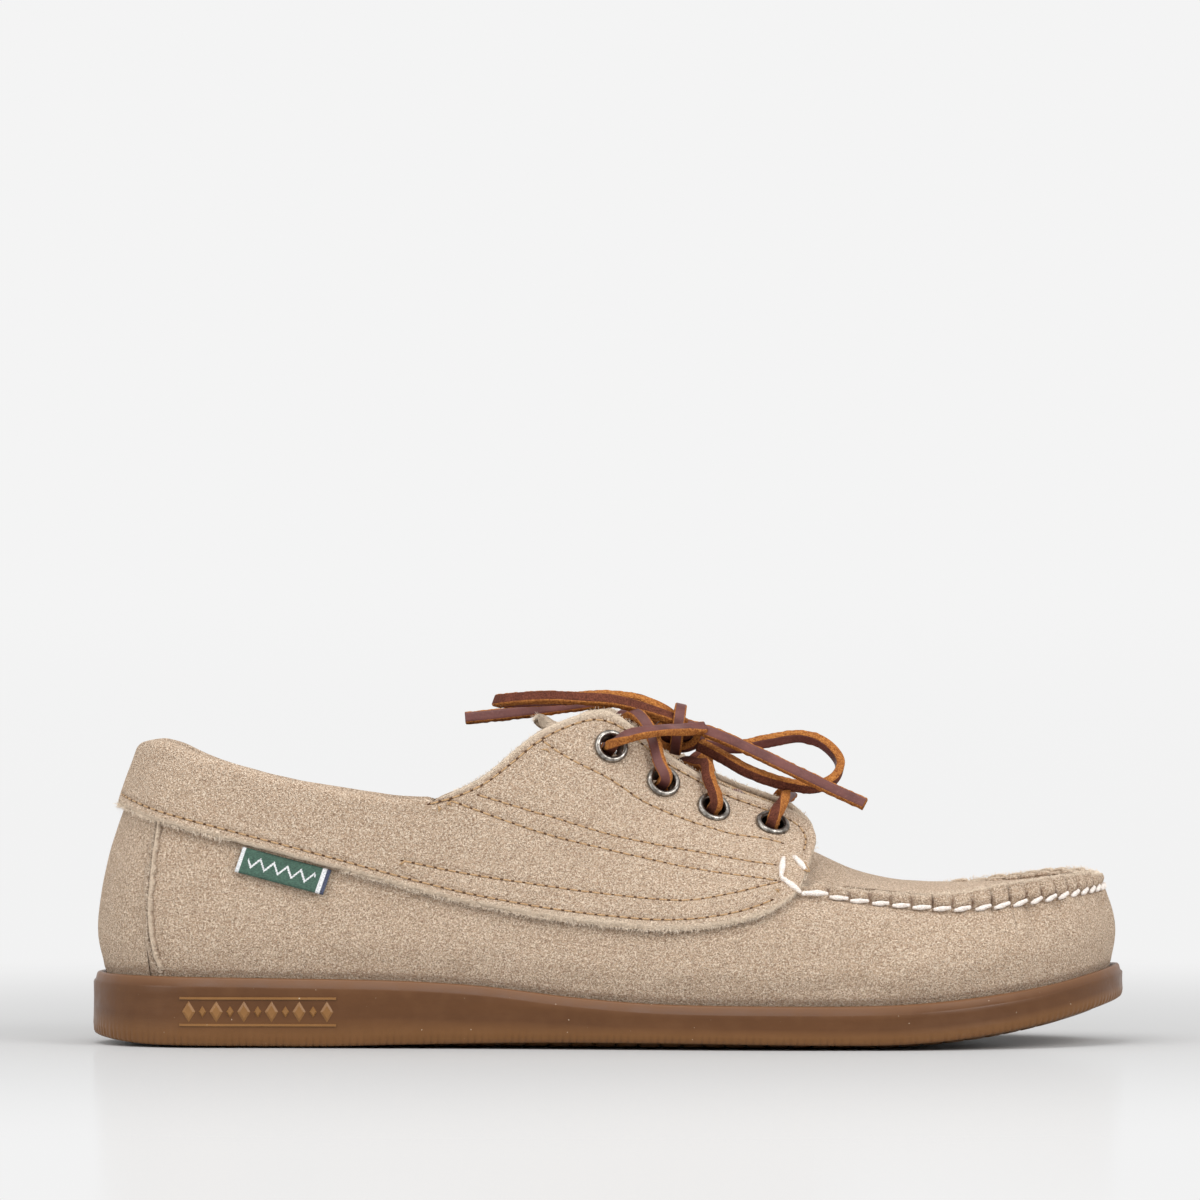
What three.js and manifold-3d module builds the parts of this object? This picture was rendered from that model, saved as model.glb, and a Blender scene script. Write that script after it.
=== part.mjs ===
// A men's laced camp moccasin, right foot, about EU 42 1/2.
// Millimetres, +X towards the toe, +Y towards the medial (inner) side, +Z up.
// The origin is at the middle of the shoe's length and width, on the ground.
import * as THREE from "three";
import { mergeVertices } from "three/addons/utils/BufferGeometryUtils.js";
import Module from "manifold-3d";

const wasm = await Module();
wasm.setup();

// ---- Driving dimensions ------------------------------------------------------------------
const LENGTH = 295; // outsole, heel to toe
const HEEL_CENTRE_X = -112; // centre of the round heel end
const TOE_ARC_X = 70; // where the toe's round starts
const TOE_CENTRE_X = 92; // the point that the toe's gathers aim at
const ROUND_POWER = 2.06; // 2 is an ellipse, more is squarer

const GAP = 0.3; // between touching pieces
const SUEDE = 1.8; // upper leather
const LINING = 1.2;
const SOLE_RIM = 2.2; // the sole's lip stands this far above its inner deck
const BOARD = 1.8;
const FOOTBED = 4;
const HEEL_PAD = 2.7;
const FEATHER_INSET = 3.7; // upper to sole edge, where they meet
const OVERLAP = 7; // how far the vamp and heel panel run up under the quarters
const HEEL_SEAM_X = -132.5; // station of the two upright heel seams
const LINING_END_X = -46; // where the heel lining stops and the facing linings start

const EYELET_FLANGE_R = 5;
const EYELET_HOLE_R = 2.95;
const EYELET_BARREL_R = 3.4;
const LACE_R = 1.45;
const THREAD_R = 0.7;
const TONGUE_THICK = 1.7;

const HALF_TURN = Math.PI / 2;
const LATERAL = -1;
const MEDIAL = 1;

// ---- Small maths -------------------------------------------------------------------------
const clamp = (v, low, high) => Math.min(Math.max(v, low), high);
const mix = (a, b, t) => a + (b - a) * t;
const smooth = (low, high, v) => {
  const t = clamp((v - low) / (high - low), 0, 1);
  return t * t * (3 - 2 * t);
};
const range = (from, to, steps) => Array.from({ length: steps + 1 }, (_, i) => mix(from, to, i / steps));

// A smooth curve through points [x, y], as a function of x; it runs on straight past its ends.
function rail(points) {
  const last = points.length - 1;
  const slope = (i) => {
    const a = points[Math.max(i - 1, 0)];
    const b = points[Math.min(i + 1, last)];
    return (b[1] - a[1]) / (b[0] - a[0]);
  };
  return (x) => {
    if (x <= points[0][0]) return points[0][1] + slope(0) * (x - points[0][0]);
    if (x >= points[last][0]) return points[last][1] + slope(last) * (x - points[last][0]);
    const i = points.findIndex((p) => p[0] > x) - 1;
    const [x0, y0] = points[i];
    const [x1, y1] = points[i + 1];
    const h = x1 - x0;
    const t = (x - x0) / h;
    const rise = y1 - y0 - h * slope(i);
    const fall = h * slope(i + 1) - (y1 - y0);
    return y0 + t * h * slope(i) + t * t * (rise + (1 - t) * (rise - fall));
  };
}

// ---- Side-view rails: height over x ------------------------------------------------------
const soleTop = rail([[-148, 20.1], [-96, 19.4], [-60, 18.8], [-36, 17.4], [-10, 14.4],
  [14, 12.6], [50, 12.1], [80, 12.4], [101, 14], [124, 17.2], [144, 21.7]]);
const soleEdgeLift = rail([[-148, 0.3], [-100, 0.1], [-80, 0.1], [-60, 0.6], [-20, 1.4], [20, 1.4], [60, 1],
  [148, 1]]);
const waist = rail([[-148, 54], [-98, 52], [-40, 48], [0, 44.5], [30, 43.5], [54.8, 44.6],
  [66, 42.3], [77.7, 40.9], [92, 39.5], [100.6, 39.2], [112, 40], [123.5, 41.5], [134.9, 43.2],
  [142, 44.2]]);
const topEdge = rail([[-135, 85], [-127, 86.6], [-117, 83.3], [-98, 77.5], [-78, 73.6], [-59, 70.7],
  [-49, 71], [-42, 73.2], [-34.5, 77.5], [-27, 83.8], [-20, 89], [-11, 92.9], [-2, 95.2], [4, 92.6],
  [15.6, 83], [32.4, 73], [47.5, 67], [53, 65], [56.5, 62.6], [58.5, 59.8], [59.2, 57.6]]);
const shoulder = rail([[-135, 85], [-127, 86.6], [-98, 77.5], [-59, 70.7], [-42, 73.2], [-27, 83.8],
  [-11, 92.9], [-2, 95.2], [15.6, 83], [32.4, 73], [47.5, 67], [60, 62], [75, 56]]);
const quarterEdge = rail([[-141, 68.2], [-128.6, 63.5], [-104.9, 57.3], [-80.3, 50.9], [-43.5, 41.2],
  [-19.4, 36.6], [0, 34], [17.3, 33], [32.8, 34.3], [45, 37.6], [51, 41], [54.2, 44], [56, 48],
  [57.6, 52], [58.7, 55.2], [59.2, 56.8]]);
const ridgeTop = rail([[50, 46.4], [62, 46.1], [75, 44.6], [92, 43.8], [112, 46.1], [129, 48.2],
  [136, 48.8], [142, 47.6]]);
const facingSeam = rail([[-46, 70], [-19.4, 60.4], [-3.3, 56.2], [21.2, 50.4], [38, 48.2], [52, 48.6]]);
const plugCrown = rail([[50, 58], [58.8, 54.2], [69.3, 49.4], [80, 46.6], [92, 45.2]]);
const tongueCrown = rail([[-21, 92.6], [-12, 89.6], [-1.5, 84.2], [13, 75], [27, 66.6], [45, 57.6],
  [52, 54.6], [57, 52.2]]);

// ---- Plan view ---------------------------------------------------------------------------
const lateralHalf = rail([[-148, 35.2], [-112, 35.6], [-80, 37], [-40, 40.4], [0, 46.4], [30, 51],
  [52, 52.9], [70, 53.35], [92, 54.4], [148, 55]]);
const medialHalf = rail([[-148, 34.6], [-112, 34.8], [-80, 34.6], [-40, 35.8], [0, 41], [30, 47],
  [52, 50.5], [70, 51.8], [92, 52.4], [148, 53]]);
const spineY = rail([[-148, 0], [0, 0], [60, 0.4], [92, 1.6], [120, 3.6], [148, 6.5]]);
const halfWidth = (side, x) => (side === LATERAL ? lateralHalf(x) : medialHalf(x));

// Insets from the sole's edge, at the four levels of a section, over the station's x.
const bulgeInset = {
  [LATERAL]: rail([[-148, 1.7], [-60, 2], [0, 1.7], [60, 1.5], [100, 1.8], [148, 2.6]]),
  [MEDIAL]: rail([[-148, 1.7], [-90, 2.4], [-30, 4], [10, 3.2], [60, 1.6], [100, 1.8], [148, 2.6]]),
};
const waistInset = rail([[-148, 4.8], [-98, 4.6], [-40, 5.4], [0, 7.4], [30, 8.8], [60, 10],
  [90, 9.4], [120, 7.8], [148, 6]]);
const topInset = {
  [LATERAL]: rail([[-148, 16], [-138, 15], [-117, 11.6], [-98, 8.8], [-59, 7.8], [-42, 9.8], [-27, 15],
    [-11, 22.4], [0, 27], [15.6, 31], [32.4, 36], [47.5, 39], [60, 40], [75, 42]]),
  [MEDIAL]: rail([[-148, 16], [-138, 15], [-117, 11.6], [-98, 8.4], [-59, 6.8], [-42, 8.2], [-27, 12],
    [-11, 18], [0, 22], [15.6, 27.4], [32.4, 34], [47.5, 37.4], [60, 39], [75, 42]]),
};

// ---- Stations round the edge -------------------------------------------------------------
const HEEL_RUN = 56;
const TOE_RUN = 100;
const BODY_RUN = TOE_ARC_X - HEEL_CENTRE_X;
const WHOLE_RUN = HEEL_RUN + BODY_RUN + TOE_RUN;
const HEEL_RADIUS = LENGTH / 2 + HEEL_CENTRE_X;
const TOE_RADIUS = LENGTH / 2 - TOE_ARC_X;

// The sole's edge at a station: run 0 is the back of the heel, WHOLE_RUN the tip of the toe.
function edgeAt(side, run) {
  let x = HEEL_CENTRE_X + run - HEEL_RUN;
  let roundness = 1;
  if (run < HEEL_RUN) {
    const turn = (run / HEEL_RUN) * HALF_TURN;
    x = HEEL_CENTRE_X - HEEL_RADIUS * Math.cos(turn) ** (2 / ROUND_POWER);
    roundness = Math.sin(turn) ** (2 / ROUND_POWER);
  } else if (run > HEEL_RUN + BODY_RUN) {
    const turn = ((WHOLE_RUN - run) / TOE_RUN) * HALF_TURN;
    x = TOE_ARC_X + TOE_RADIUS * Math.max(Math.cos(turn), 0) ** (2 / ROUND_POWER);
    roundness = Math.max(Math.sin(turn), 0) ** (2 / ROUND_POWER);
  }
  const y = spineY(x) + side * halfWidth(side, x) * roundness;
  const spineX = clamp(x, HEEL_CENTRE_X, TOE_CENTRE_X);
  const inX = spineX - x;
  const inY = spineY(spineX) - y;
  const reach = Math.hypot(inX, inY);
  return { side, run, x, y, reach, inX: inX / reach, inY: inY / reach };
}

// The run whose edge point has this x, on the body or in either round.
function runAtX(x) {
  if (x < HEEL_CENTRE_X) {
    const c = ((HEEL_CENTRE_X - x) / HEEL_RADIUS) ** (ROUND_POWER / 2);
    return (Math.acos(clamp(c, -1, 1)) / HALF_TURN) * HEEL_RUN;
  }
  if (x > TOE_ARC_X) {
    const c = ((x - TOE_ARC_X) / TOE_RADIUS) ** (ROUND_POWER / 2);
    return WHOLE_RUN - (Math.acos(clamp(c, -1, 1)) / HALF_TURN) * TOE_RUN;
  }
  return x - HEEL_CENTRE_X + HEEL_RUN;
}

// A point this far in from the edge; a height given as a rail is read at the point's own x.
function inFrom(station, inset, height) {
  const x = station.x + station.inX * inset;
  const y = station.y + station.inY * inset;
  return new THREE.Vector3(x, y, typeof height === "function" ? height(x) : height);
}

// The upper's outer wall at a station, as inset over height.
function wallAt(side, run) {
  const station = edgeAt(side, run);
  const xAt = (inset) => station.x + station.inX * inset;
  const level = (inset, heights) => [heights(xAt(inset)), inset];
  const seam = level(waistInset(station.x), waist);
  const instep = level(topInset[side](station.x), shoulder);
  const toeBox = smooth(58, 90, station.x); // ahead of the facings nothing rises above the seam
  const inset = rail([
    level(FEATHER_INSET, (x) => soleTop(x) - 0.5),
    level(bulgeInset[side](station.x), (x) => soleTop(x) + 11),
    seam,
    [mix(instep[0], seam[0] + 14, toeBox), mix(instep[1], seam[1] + 9, toeBox)],
  ]);
  const lean = (z) => Math.atan(inset(z + 0.5) - inset(z - 0.5));
  return { station, inset, lean, xAt };
}

// A point on the wall, moved out along the section's own normal.
function wallPoint(wall, z, out = 0) {
  const lean = wall.lean(z);
  return inFrom(wall.station, wall.inset(z) - out * Math.cos(lean), z + out * Math.sin(lean));
}

// The height at which a wall meets a side-view rail.
function meet(wall, heights) {
  let z = heights(wall.station.x);
  for (let i = 0; i < 8; i++) z = heights(wall.xAt(wall.inset(z)));
  return z;
}

// The point of the upper's surface at a place in the side view, moved out along the true normal.
function onSide(side, x, z, out = 0) {
  let run = runAtX(x);
  for (let i = 0; i < 8; i++) {
    const wall = wallAt(side, run);
    run = clamp(run + x - wall.xAt(wall.inset(z)), 1, WHOLE_RUN - 1);
  }
  const wall = wallAt(side, run);
  const here = wallPoint(wall, z);
  const along = wallPoint(wallAt(side, run + 1), z).sub(wallPoint(wallAt(side, run - 1), z));
  const up = wallPoint(wall, z + 1).sub(wallPoint(wall, z - 1));
  const normal = along.cross(up).normalize();
  if (normal.y * side < 0) normal.negate();
  return { point: here.addScaledVector(normal, out), normal };
}

// ---- Meshes and solids -------------------------------------------------------------------
function weld(geometry) {
  geometry.deleteAttribute("normal");
  geometry.deleteAttribute("uv");
  const merged = mergeVertices(geometry, 1e-3);
  const index = Array.from(merged.index.array);
  const kept = [];
  for (let i = 0; i < index.length; i += 3) {
    const [a, b, c] = index.slice(i, i + 3);
    if (a !== b && b !== c && c !== a) kept.push(a, b, c);
  }
  merged.setIndex(kept);
  return merged;
}

function volumeOf(geometry) {
  const p = geometry.attributes.position;
  const corner = [new THREE.Vector3(), new THREE.Vector3(), new THREE.Vector3()];
  let sum = 0;
  for (let i = 0; i < geometry.index.count; i += 3) {
    corner.forEach((v, k) => v.fromBufferAttribute(p, geometry.index.getX(i + k)));
    sum += corner[0].dot(corner[1].cross(corner[2]));
  }
  return sum / 6;
}

// A closed solid through a row of sections. Each section has two sides, from its edge inwards;
// meets says that both sides end on the shoe's spine, where opposite sections share their points.
function loft(sections, { meets = false, loop = false }) {
  const points = [];
  const faces = [];
  const rings = sections.map(([outer, inner]) => {
    const start = points.length;
    points.push(...outer, ...inner);
    return { outer: outer.map((_, i) => start + i), inner: inner.map((_, i) => start + outer.length + i) };
  });
  const quad = (a, b, c, d) => faces.push(a, b, c, a, c, d);
  const strip = (p, q) => {
    for (let j = 0; j + 1 < p.length; j++) quad(p[j], p[j + 1], q[j + 1], q[j]);
  };
  rings.forEach((ring, k) => {
    if (!loop && k === rings.length - 1) return;
    const next = rings[(k + 1) % rings.length];
    strip(ring.outer, next.outer);
    strip(next.inner, ring.inner);
    quad(next.outer[0], next.inner[0], ring.inner[0], ring.outer[0]);
    if (!meets) quad(ring.outer.at(-1), ring.inner.at(-1), next.inner.at(-1), next.outer.at(-1));
  });
  if (!loop) {
    strip(rings[0].inner, rings[0].outer);
    strip(rings.at(-1).outer, rings.at(-1).inner);
  }
  const geometry = new THREE.BufferGeometry().setFromPoints(points).setIndex(faces);
  const solid = weld(geometry);
  if (volumeOf(solid) < 0) {
    const flipped = Array.from(solid.index.array);
    for (let i = 0; i < flipped.length; i += 3) [flipped[i], flipped[i + 1]] = [flipped[i + 1], flipped[i]];
    solid.setIndex(flipped);
  }
  return solid;
}

function toManifold(geometry) {
  const welded = weld(geometry.clone());
  return new wasm.Manifold(new wasm.Mesh({
    numProp: 3,
    vertProperties: new Float32Array(welded.attributes.position.array),
    triVerts: new Uint32Array(welded.index.array),
  }));
}

function cut(geometry, tools) {
  const solid = tools.reduce((left, tool) => left.subtract(toManifold(tool)), toManifold(geometry));
  const made = solid.getMesh();
  return new THREE.BufferGeometry()
    .setAttribute("position", new THREE.BufferAttribute(new Float32Array(made.vertProperties), 3))
    .setIndex(new THREE.BufferAttribute(new Uint32Array(made.triVerts), 1));
}

// A round tube along points, with flat ends.
function tube(points, radius, sides, step) {
  const path = new THREE.CatmullRomCurve3(points, false, "centripetal");
  const section = new THREE.Shape();
  for (let i = 0; i < sides; i++) {
    const turn = (i / sides) * 2 * Math.PI;
    section[i ? "lineTo" : "moveTo"](radius * Math.cos(turn), radius * Math.sin(turn));
  }
  const steps = Math.max(2, Math.round(path.getLength() / step));
  return new THREE.ExtrudeGeometry(section, { steps, extrudePath: path, bevelEnabled: false });
}

// ---- Station rows ------------------------------------------------------------------------
const arcRuns = [...range(0, HEEL_RUN, 6), ...range(HEEL_RUN, HEEL_RUN + BODY_RUN, 14).slice(1),
  ...range(HEEL_RUN + BODY_RUN, WHOLE_RUN, 10).slice(1)];
const wholeLoop = [...arcRuns.map((run) => [LATERAL, run]),
  ...arcRuns.slice(1, -1).reverse().map((run) => [MEDIAL, run])];

// The shared stations between two runs, with the two runs themselves as the ends.
const between = (from, to) => [from, ...arcRuns.filter((run) => run > from + 1.5 && run < to - 1.5), to];

// From a place on the lateral side, round the back of the heel, to the same place medially.
function heelLoop(frontRun) {
  const runs = between(0, frontRun);
  return [...runs.slice(1).reverse().map((run) => [LATERAL, run]), ...runs.map((run) => [MEDIAL, run])];
}

// From a place on the lateral side, round the toe, to the same place medially.
function toeLoop(backRun) {
  const runs = between(backRun, WHOLE_RUN);
  return [...runs.map((run) => [LATERAL, run]), ...runs.slice(0, -1).reverse().map((run) => [MEDIAL, run])];
}

// A strip of the wall between two heights, from one offset to another.
function band(row, lowOf, highOf, inOff, outOff, levels) {
  const sections = row.map(([side, run]) => {
    const wall = wallAt(side, run);
    const heights = range(lowOf(wall), highOf(wall), levels);
    return [heights.map((z) => wallPoint(wall, z, outOff)), heights.map((z) => wallPoint(wall, z, inOff))];
  });
  return loft(sections, {});
}

// ---- Materials ---------------------------------------------------------------------------
const paint = (color, roughness, metalness = 0) =>
  new THREE.MeshStandardMaterial({ color, roughness, metalness });
const suede = paint(0xc8af98, 0.95);
const gum = paint(0x76553d, 0.55);
const liningLeather = paint(0xb79a78, 0.7);
const board = paint(0x9c8462, 0.9);
const foam = paint(0xd8cfb8, 0.95);
const stiffener = paint(0xe2dccb, 0.8);
const nickel = paint(0x8d8780, 0.35, 1);
const whiteThread = paint(0xeee8dc, 0.7);
const greenWeave = paint(0x3e6250, 0.9);
const laceLeather = paint(0x6b3b34, 0.6);

const shoe = new THREE.Group();
function add(name, geometry, material) {
  const mesh = new THREE.Mesh(geometry, material);
  mesh.name = name;
  shoe.add(mesh);
  return mesh;
}

// ---- Outsole -----------------------------------------------------------------------------
const FLAT_FROM_X = -128;
const FLAT_TO_X = 72;
const TOE_CURL = 0.00207; // rise over distance squared, as for the two below
const HEEL_CURL = 0.0045;
const HEEL_EDGE_CURL = 0.0003;
const squareBeyond = (length) => Math.max(0, length) ** 2;
const soleCurl = (x) => TOE_CURL * squareBeyond(x - FLAT_TO_X) + HEEL_CURL * squareBeyond(FLAT_FROM_X - x);
const treadEdge = (x) =>
  soleCurl(x) + soleEdgeLift(x) + HEEL_EDGE_CURL * squareBeyond(HEEL_CENTRE_X - x);

function outsole() {
  const deck = (x) => soleTop(x) - SOLE_RIM;
  const sections = wholeLoop.map(([side, run]) => {
    const s = edgeAt(side, run);
    const middle = (s.reach + 9) / 2;
    const bottom = [inFrom(s, 1.2, treadEdge), inFrom(s, 9, soleCurl), inFrom(s, middle, soleCurl),
      inFrom(s, s.reach, soleCurl)];
    const top = [inFrom(s, 0, (x) => treadEdge(x) + 3), inFrom(s, 0.5, (x) => soleTop(x) - 2.6),
      inFrom(s, 1.4, soleTop), inFrom(s, 2.9, soleTop), inFrom(s, 3.1, deck), inFrom(s, middle, deck),
      inFrom(s, s.reach, deck)];
    return [bottom, top];
  });
  return loft(sections, { meets: true, loop: true });
}
add("outsole", outsole(), gum);

// ---- Boards and padding inside, flat sheets that follow the deck ---------------------------
// A flat sheet from one height above the sole's edge line to another, inside an inset.
function deckSheet(row, inset, lowOf, highOf, loop) {
  const sections = row.map(([side, run]) => {
    const s = edgeAt(side, run);
    const stops = [inset, (s.reach + inset) / 2, s.reach];
    return [stops.map((d) => inFrom(s, d, lowOf)), stops.map((d) => inFrom(s, d, highOf))];
  });
  return loft(sections, { meets: true, loop });
}
const vampBottom = (x) => soleTop(x) - SOLE_RIM + GAP;
const boardBottom = (x) => vampBottom(x) + SUEDE + GAP;
const padBottom = (x) => boardBottom(x) + BOARD + GAP;
const padTop = (x) => padBottom(x) + HEEL_PAD;
const footbedLift = (x) => (HEEL_PAD + GAP) * (1 - smooth(-74, -40, x));
const footbedBottom = (x) => padBottom(x) + footbedLift(x);
const footbedTop = (x) => footbedBottom(x) + FOOTBED;

add("insole_board", deckSheet(wholeLoop, 7.4, boardBottom, (x) => boardBottom(x) + BOARD, true), board);
add("heel_pad", deckSheet(heelLoop(runAtX(-76)), 10, padBottom, padTop, false), foam);
add("footbed", deckSheet(wholeLoop, 9.4, footbedBottom, footbedTop, true), liningLeather);

// ---- Vamp: one piece that wraps under the foot, its front edge turned up into a ridge -------
const vampRise = (x) => (x < 50 ? Math.max(quarterEdge(x), soleTop(x) + 14) + OVERLAP : ridgeTop(x));
const vampTop = (x) => mix(vampRise(Math.min(x, 49.9)), ridgeTop(x), smooth(42, 56, x));
const RIDGE_START_X = 60;
const RIDGE_FULL_X = 68;

// The turned-up edge: above the seam the wall stands upright instead of closing over the foot.
function ridgeWall(wall) {
  const seamZ = meet(wall, waist);
  const seamInset = wall.inset(seamZ);
  const upright = smooth(RIDGE_START_X, RIDGE_FULL_X, wall.station.x);
  const steep = (z) => seamInset + 0.1 * (z - seamZ);
  const inset = (z) => (z > seamZ ? mix(wall.inset(z), steep(z), upright) : wall.inset(z));
  const lean = (z) => Math.atan(inset(z + 0.5) - inset(z - 0.5));
  return { ...wall, inset, lean, seamZ };
}

function vampSection(side, run) {
  const wall = ridgeWall(wallAt(side, run));
  const s = wall.station;
  const top = meet(wall, vampTop);
  const base = meet(wall, soleTop) + 1.5;
  const middle = mix(top, base, 0.42);
  const heights = [...range(top, middle, 2), ...range(middle, base, 3).slice(1)];
  const bottomRail = (lift) => (x) => vampBottom(x) + lift;
  const outer = heights.map((z) => wallPoint(wall, z));
  const middleInset = (s.reach + 9) / 2;
  outer.push(inFrom(s, FEATHER_INSET + 0.5, bottomRail(0.9)), inFrom(s, FEATHER_INSET + 3, vampBottom),
    inFrom(s, middleInset, vampBottom), inFrom(s, s.reach, vampBottom));
  const inner = heights.map((z) => wallPoint(wall, z, -SUEDE));
  inner.push(inFrom(s, FEATHER_INSET + 2.2, bottomRail(SUEDE + 0.6)),
    inFrom(s, FEATHER_INSET + 4, bottomRail(SUEDE)), inFrom(s, middleInset, bottomRail(SUEDE)),
    inFrom(s, s.reach, bottomRail(SUEDE)));
  return [outer, inner];
}
const seamRun = runAtX(HEEL_SEAM_X);
const vampRow = toeLoop(seamRun + 0.3);
add("vamp", loft(vampRow.map(([side, run]) => vampSection(side, run)), { meets: true }), suede);

// ---- Heel panel: the cup behind the two upright seams -----------------------------------------
function heelPanel() {
  const sections = heelLoop(seamRun - 0.3).map(([side, run]) => {
    const [outer, inner] = vampSection(side, run);
    const s = edgeAt(side, run);
    outer[outer.length - 1] = inFrom(s, s.reach - 1, vampBottom);
    inner[inner.length - 1] = inFrom(s, s.reach - 1, (x) => vampBottom(x) + SUEDE);
    return [outer, inner];
  });
  return loft(sections, {});
}
add("heel_panel", heelPanel(), suede);

// The medial topline stands higher than the lateral one over the instep, and lower behind it.
const within = (x, [from, full, last, to]) => smooth(from, full, x) * (1 - smooth(last, to, x));
const facingLift = (side, x) =>
  (side === MEDIAL ? 1.8 * within(x, [8, 26, 50, 57]) - 1.5 * within(x, [-124, -110, -12, 2]) : 0);

// ---- Heel stiffening, padding and lining ------------------------------------------------------
const liningLow = (wall) => meet(wall, soleTop) + 3.4;
add("heel_counter", band(heelLoop(runAtX(-84)), liningLow, (wall) => meet(wall, quarterEdge) + 4,
  -SUEDE - GAP - LINING, -SUEDE - GAP, 4), stiffener);
const liningOut = -SUEDE - LINING - 2 * GAP;
const collarTop = (wall) => meet(wall, (x) => shoulder(x) + facingLift(wall.station.side, x));
add("heel_lining", band(heelLoop(runAtX(LINING_END_X)), liningLow, (wall) => collarTop(wall) - 0.8,
  liningOut - LINING, liningOut, 4), liningLeather);
add("collar_foam", band(heelLoop(runAtX(LINING_END_X)), (wall) => meet(wall, vampTop) + 0.8,
  (wall) => collarTop(wall) - 2.2, liningOut + GAP, 0, 3), foam);

// ---- Eyelet places ---------------------------------------------------------------------------
const EYELETS = [[0.2, 84.2], [14.9, 73.9], [29.2, 66.1], [46.2, 61.1]];
const sides = [[LATERAL, "lateral"], [MEDIAL, "medial"]];
const QUARTER_IN = 1.5 * GAP;
const QUARTER_OUT = QUARTER_IN + SUEDE;

// A frame of position and turn that stands on the surface, its Z along the outward normal.
function eyeletFrame(side, number) {
  const [x, z] = EYELETS[number];
  const { point, normal } = onSide(side, x, z);
  const turn = new THREE.Quaternion().setFromUnitVectors(new THREE.Vector3(0, 0, 1), normal);
  return new THREE.Matrix4().compose(point, turn, new THREE.Vector3(1, 1, 1));
}

function eyeletHoles(side) {
  const radius = EYELET_BARREL_R + GAP;
  return EYELETS.map((_, n) => new THREE.CylinderGeometry(radius, radius, 14, 16)
    .rotateX(HALF_TURN).applyMatrix4(eyeletFrame(side, n)));
}

// ---- Quarters and facing linings ---------------------------------------------------------------
const instepRun = runAtX(-47);
const flapRun = runAtX(46);
const quarterRuns = [...between(0.5, instepRun), ...range(instepRun, flapRun, 15).slice(1),
  ...[50.5, 54, 56, 57.6, 58.6, 59.1].map(runAtX)];

for (const [side, label] of sides) {
  const row = quarterRuns.map((run) => [side, run]);
  const high = (wall) => meet(wall, (x) => topEdge(x) + facingLift(side, x));
  const quarter = band(row, (wall) => meet(wall, quarterEdge), high, QUARTER_IN, QUARTER_OUT, 4);
  add("quarter_" + label, cut(quarter, eyeletHoles(side)), suede);

  const facingRow = range(runAtX(LINING_END_X + 1), runAtX(52), 14).map((run) => [side, run]);
  const facing = band(facingRow, (wall) => Math.max(meet(wall, facingSeam), meet(wall, vampTop) + 0.8),
    (wall) => high(wall) - 1, -LINING, 0, 3);
  add("facing_lining_" + label, cut(facing, eyeletHoles(side)), liningLeather);
}

// ---- Eyelets and their washers -----------------------------------------------------------------
const EYELET_SEAT = QUARTER_OUT + 0.4;
const WASHER_SEAT = -LINING - 0.4;
const ring = (profile) => new THREE.LatheGeometry(profile.map(([r, h]) => new THREE.Vector2(r, h)), 16)
  .rotateX(HALF_TURN);

function eyelet() {
  const lip = range(0, Math.PI, 4).map((turn) => {
    const middle = (EYELET_FLANGE_R + EYELET_HOLE_R) / 2;
    const half = (EYELET_FLANGE_R - EYELET_HOLE_R) / 2;
    return [middle + half * Math.cos(turn), EYELET_SEAT + 0.1 + 1.1 * Math.sin(turn)];
  });
  return ring([[EYELET_BARREL_R, EYELET_SEAT], [EYELET_FLANGE_R, EYELET_SEAT], ...lip,
    [EYELET_HOLE_R, WASHER_SEAT - 0.9], [EYELET_BARREL_R, WASHER_SEAT - 0.9],
    [EYELET_BARREL_R, EYELET_SEAT]]);
}

function washer() {
  const inner = EYELET_BARREL_R + GAP;
  return ring([[inner, WASHER_SEAT - 0.6], [5.2, WASHER_SEAT - 0.6], [5.2, WASHER_SEAT],
    [inner, WASHER_SEAT], [inner, WASHER_SEAT - 0.6]]);
}

for (const [side, label] of sides) {
  EYELETS.forEach((_, n) => {
    const frame = eyeletFrame(side, n);
    add("eyelet_" + label + "_" + (n + 1), eyelet(), nickel).applyMatrix4(frame);
    add("washer_" + label + "_" + (n + 1), washer(), nickel).applyMatrix4(frame);
  });
}

// ---- Plug: the apron on top of the toes, its edge turned up inside the vamp's ridge --------------
const PLUG_BACK_X = 52;
function plugSection(side, run) {
  const wall = ridgeWall(wallAt(side, run));
  const s = wall.station;
  const lipTop = meet(wall, ridgeTop) - 0.7;
  const lipFoot = wall.seamZ + 1.4;
  const outOff = -SUEDE - GAP - 0.05;
  const inOff = outOff - SUEDE;
  const foot = wallPoint(wall, lipFoot + SUEDE, inOff);
  const footInset = Math.hypot(foot.x - s.x, foot.y - s.y);
  const under = wallPoint(wall, lipFoot, outOff);
  const underInset = Math.hypot(under.x - s.x, under.y - s.y);
  const crownZ = plugCrown(clamp(s.x, PLUG_BACK_X, TOE_CENTRE_X));
  const crown = (from, edgeZ, centreZ) => [0.3, 0.65, 1].map((t) =>
    inFrom(s, mix(from, s.reach, t), mix(edgeZ, centreZ, 1 - (1 - t) ** 2)));
  const top = [wallPoint(wall, lipTop, inOff), foot, ...crown(footInset, foot.z, crownZ)];
  const bottom = [wallPoint(wall, lipTop, outOff), under, ...crown(underInset, under.z, crownZ - SUEDE)];
  return [top, bottom];
}
const plugSections = toeLoop(runAtX(PLUG_BACK_X)).map(([side, run]) => plugSection(side, run));
add("plug", loft(plugSections, { meets: true }), suede);

// ---- Waxed thread of the hand-sewn apron seam -----------------------------------------------------
function apronThread() {
  const path = toeLoop(runAtX(63)).map(([side, run]) => {
    const wall = wallAt(side, run);
    return wallPoint(wall, meet(wall, waist) - 1, THREAD_R + 3 * GAP);
  });
  return tube(path, THREAD_R, 6, 5);
}
add("apron_thread", apronThread(), whiteThread);

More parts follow.
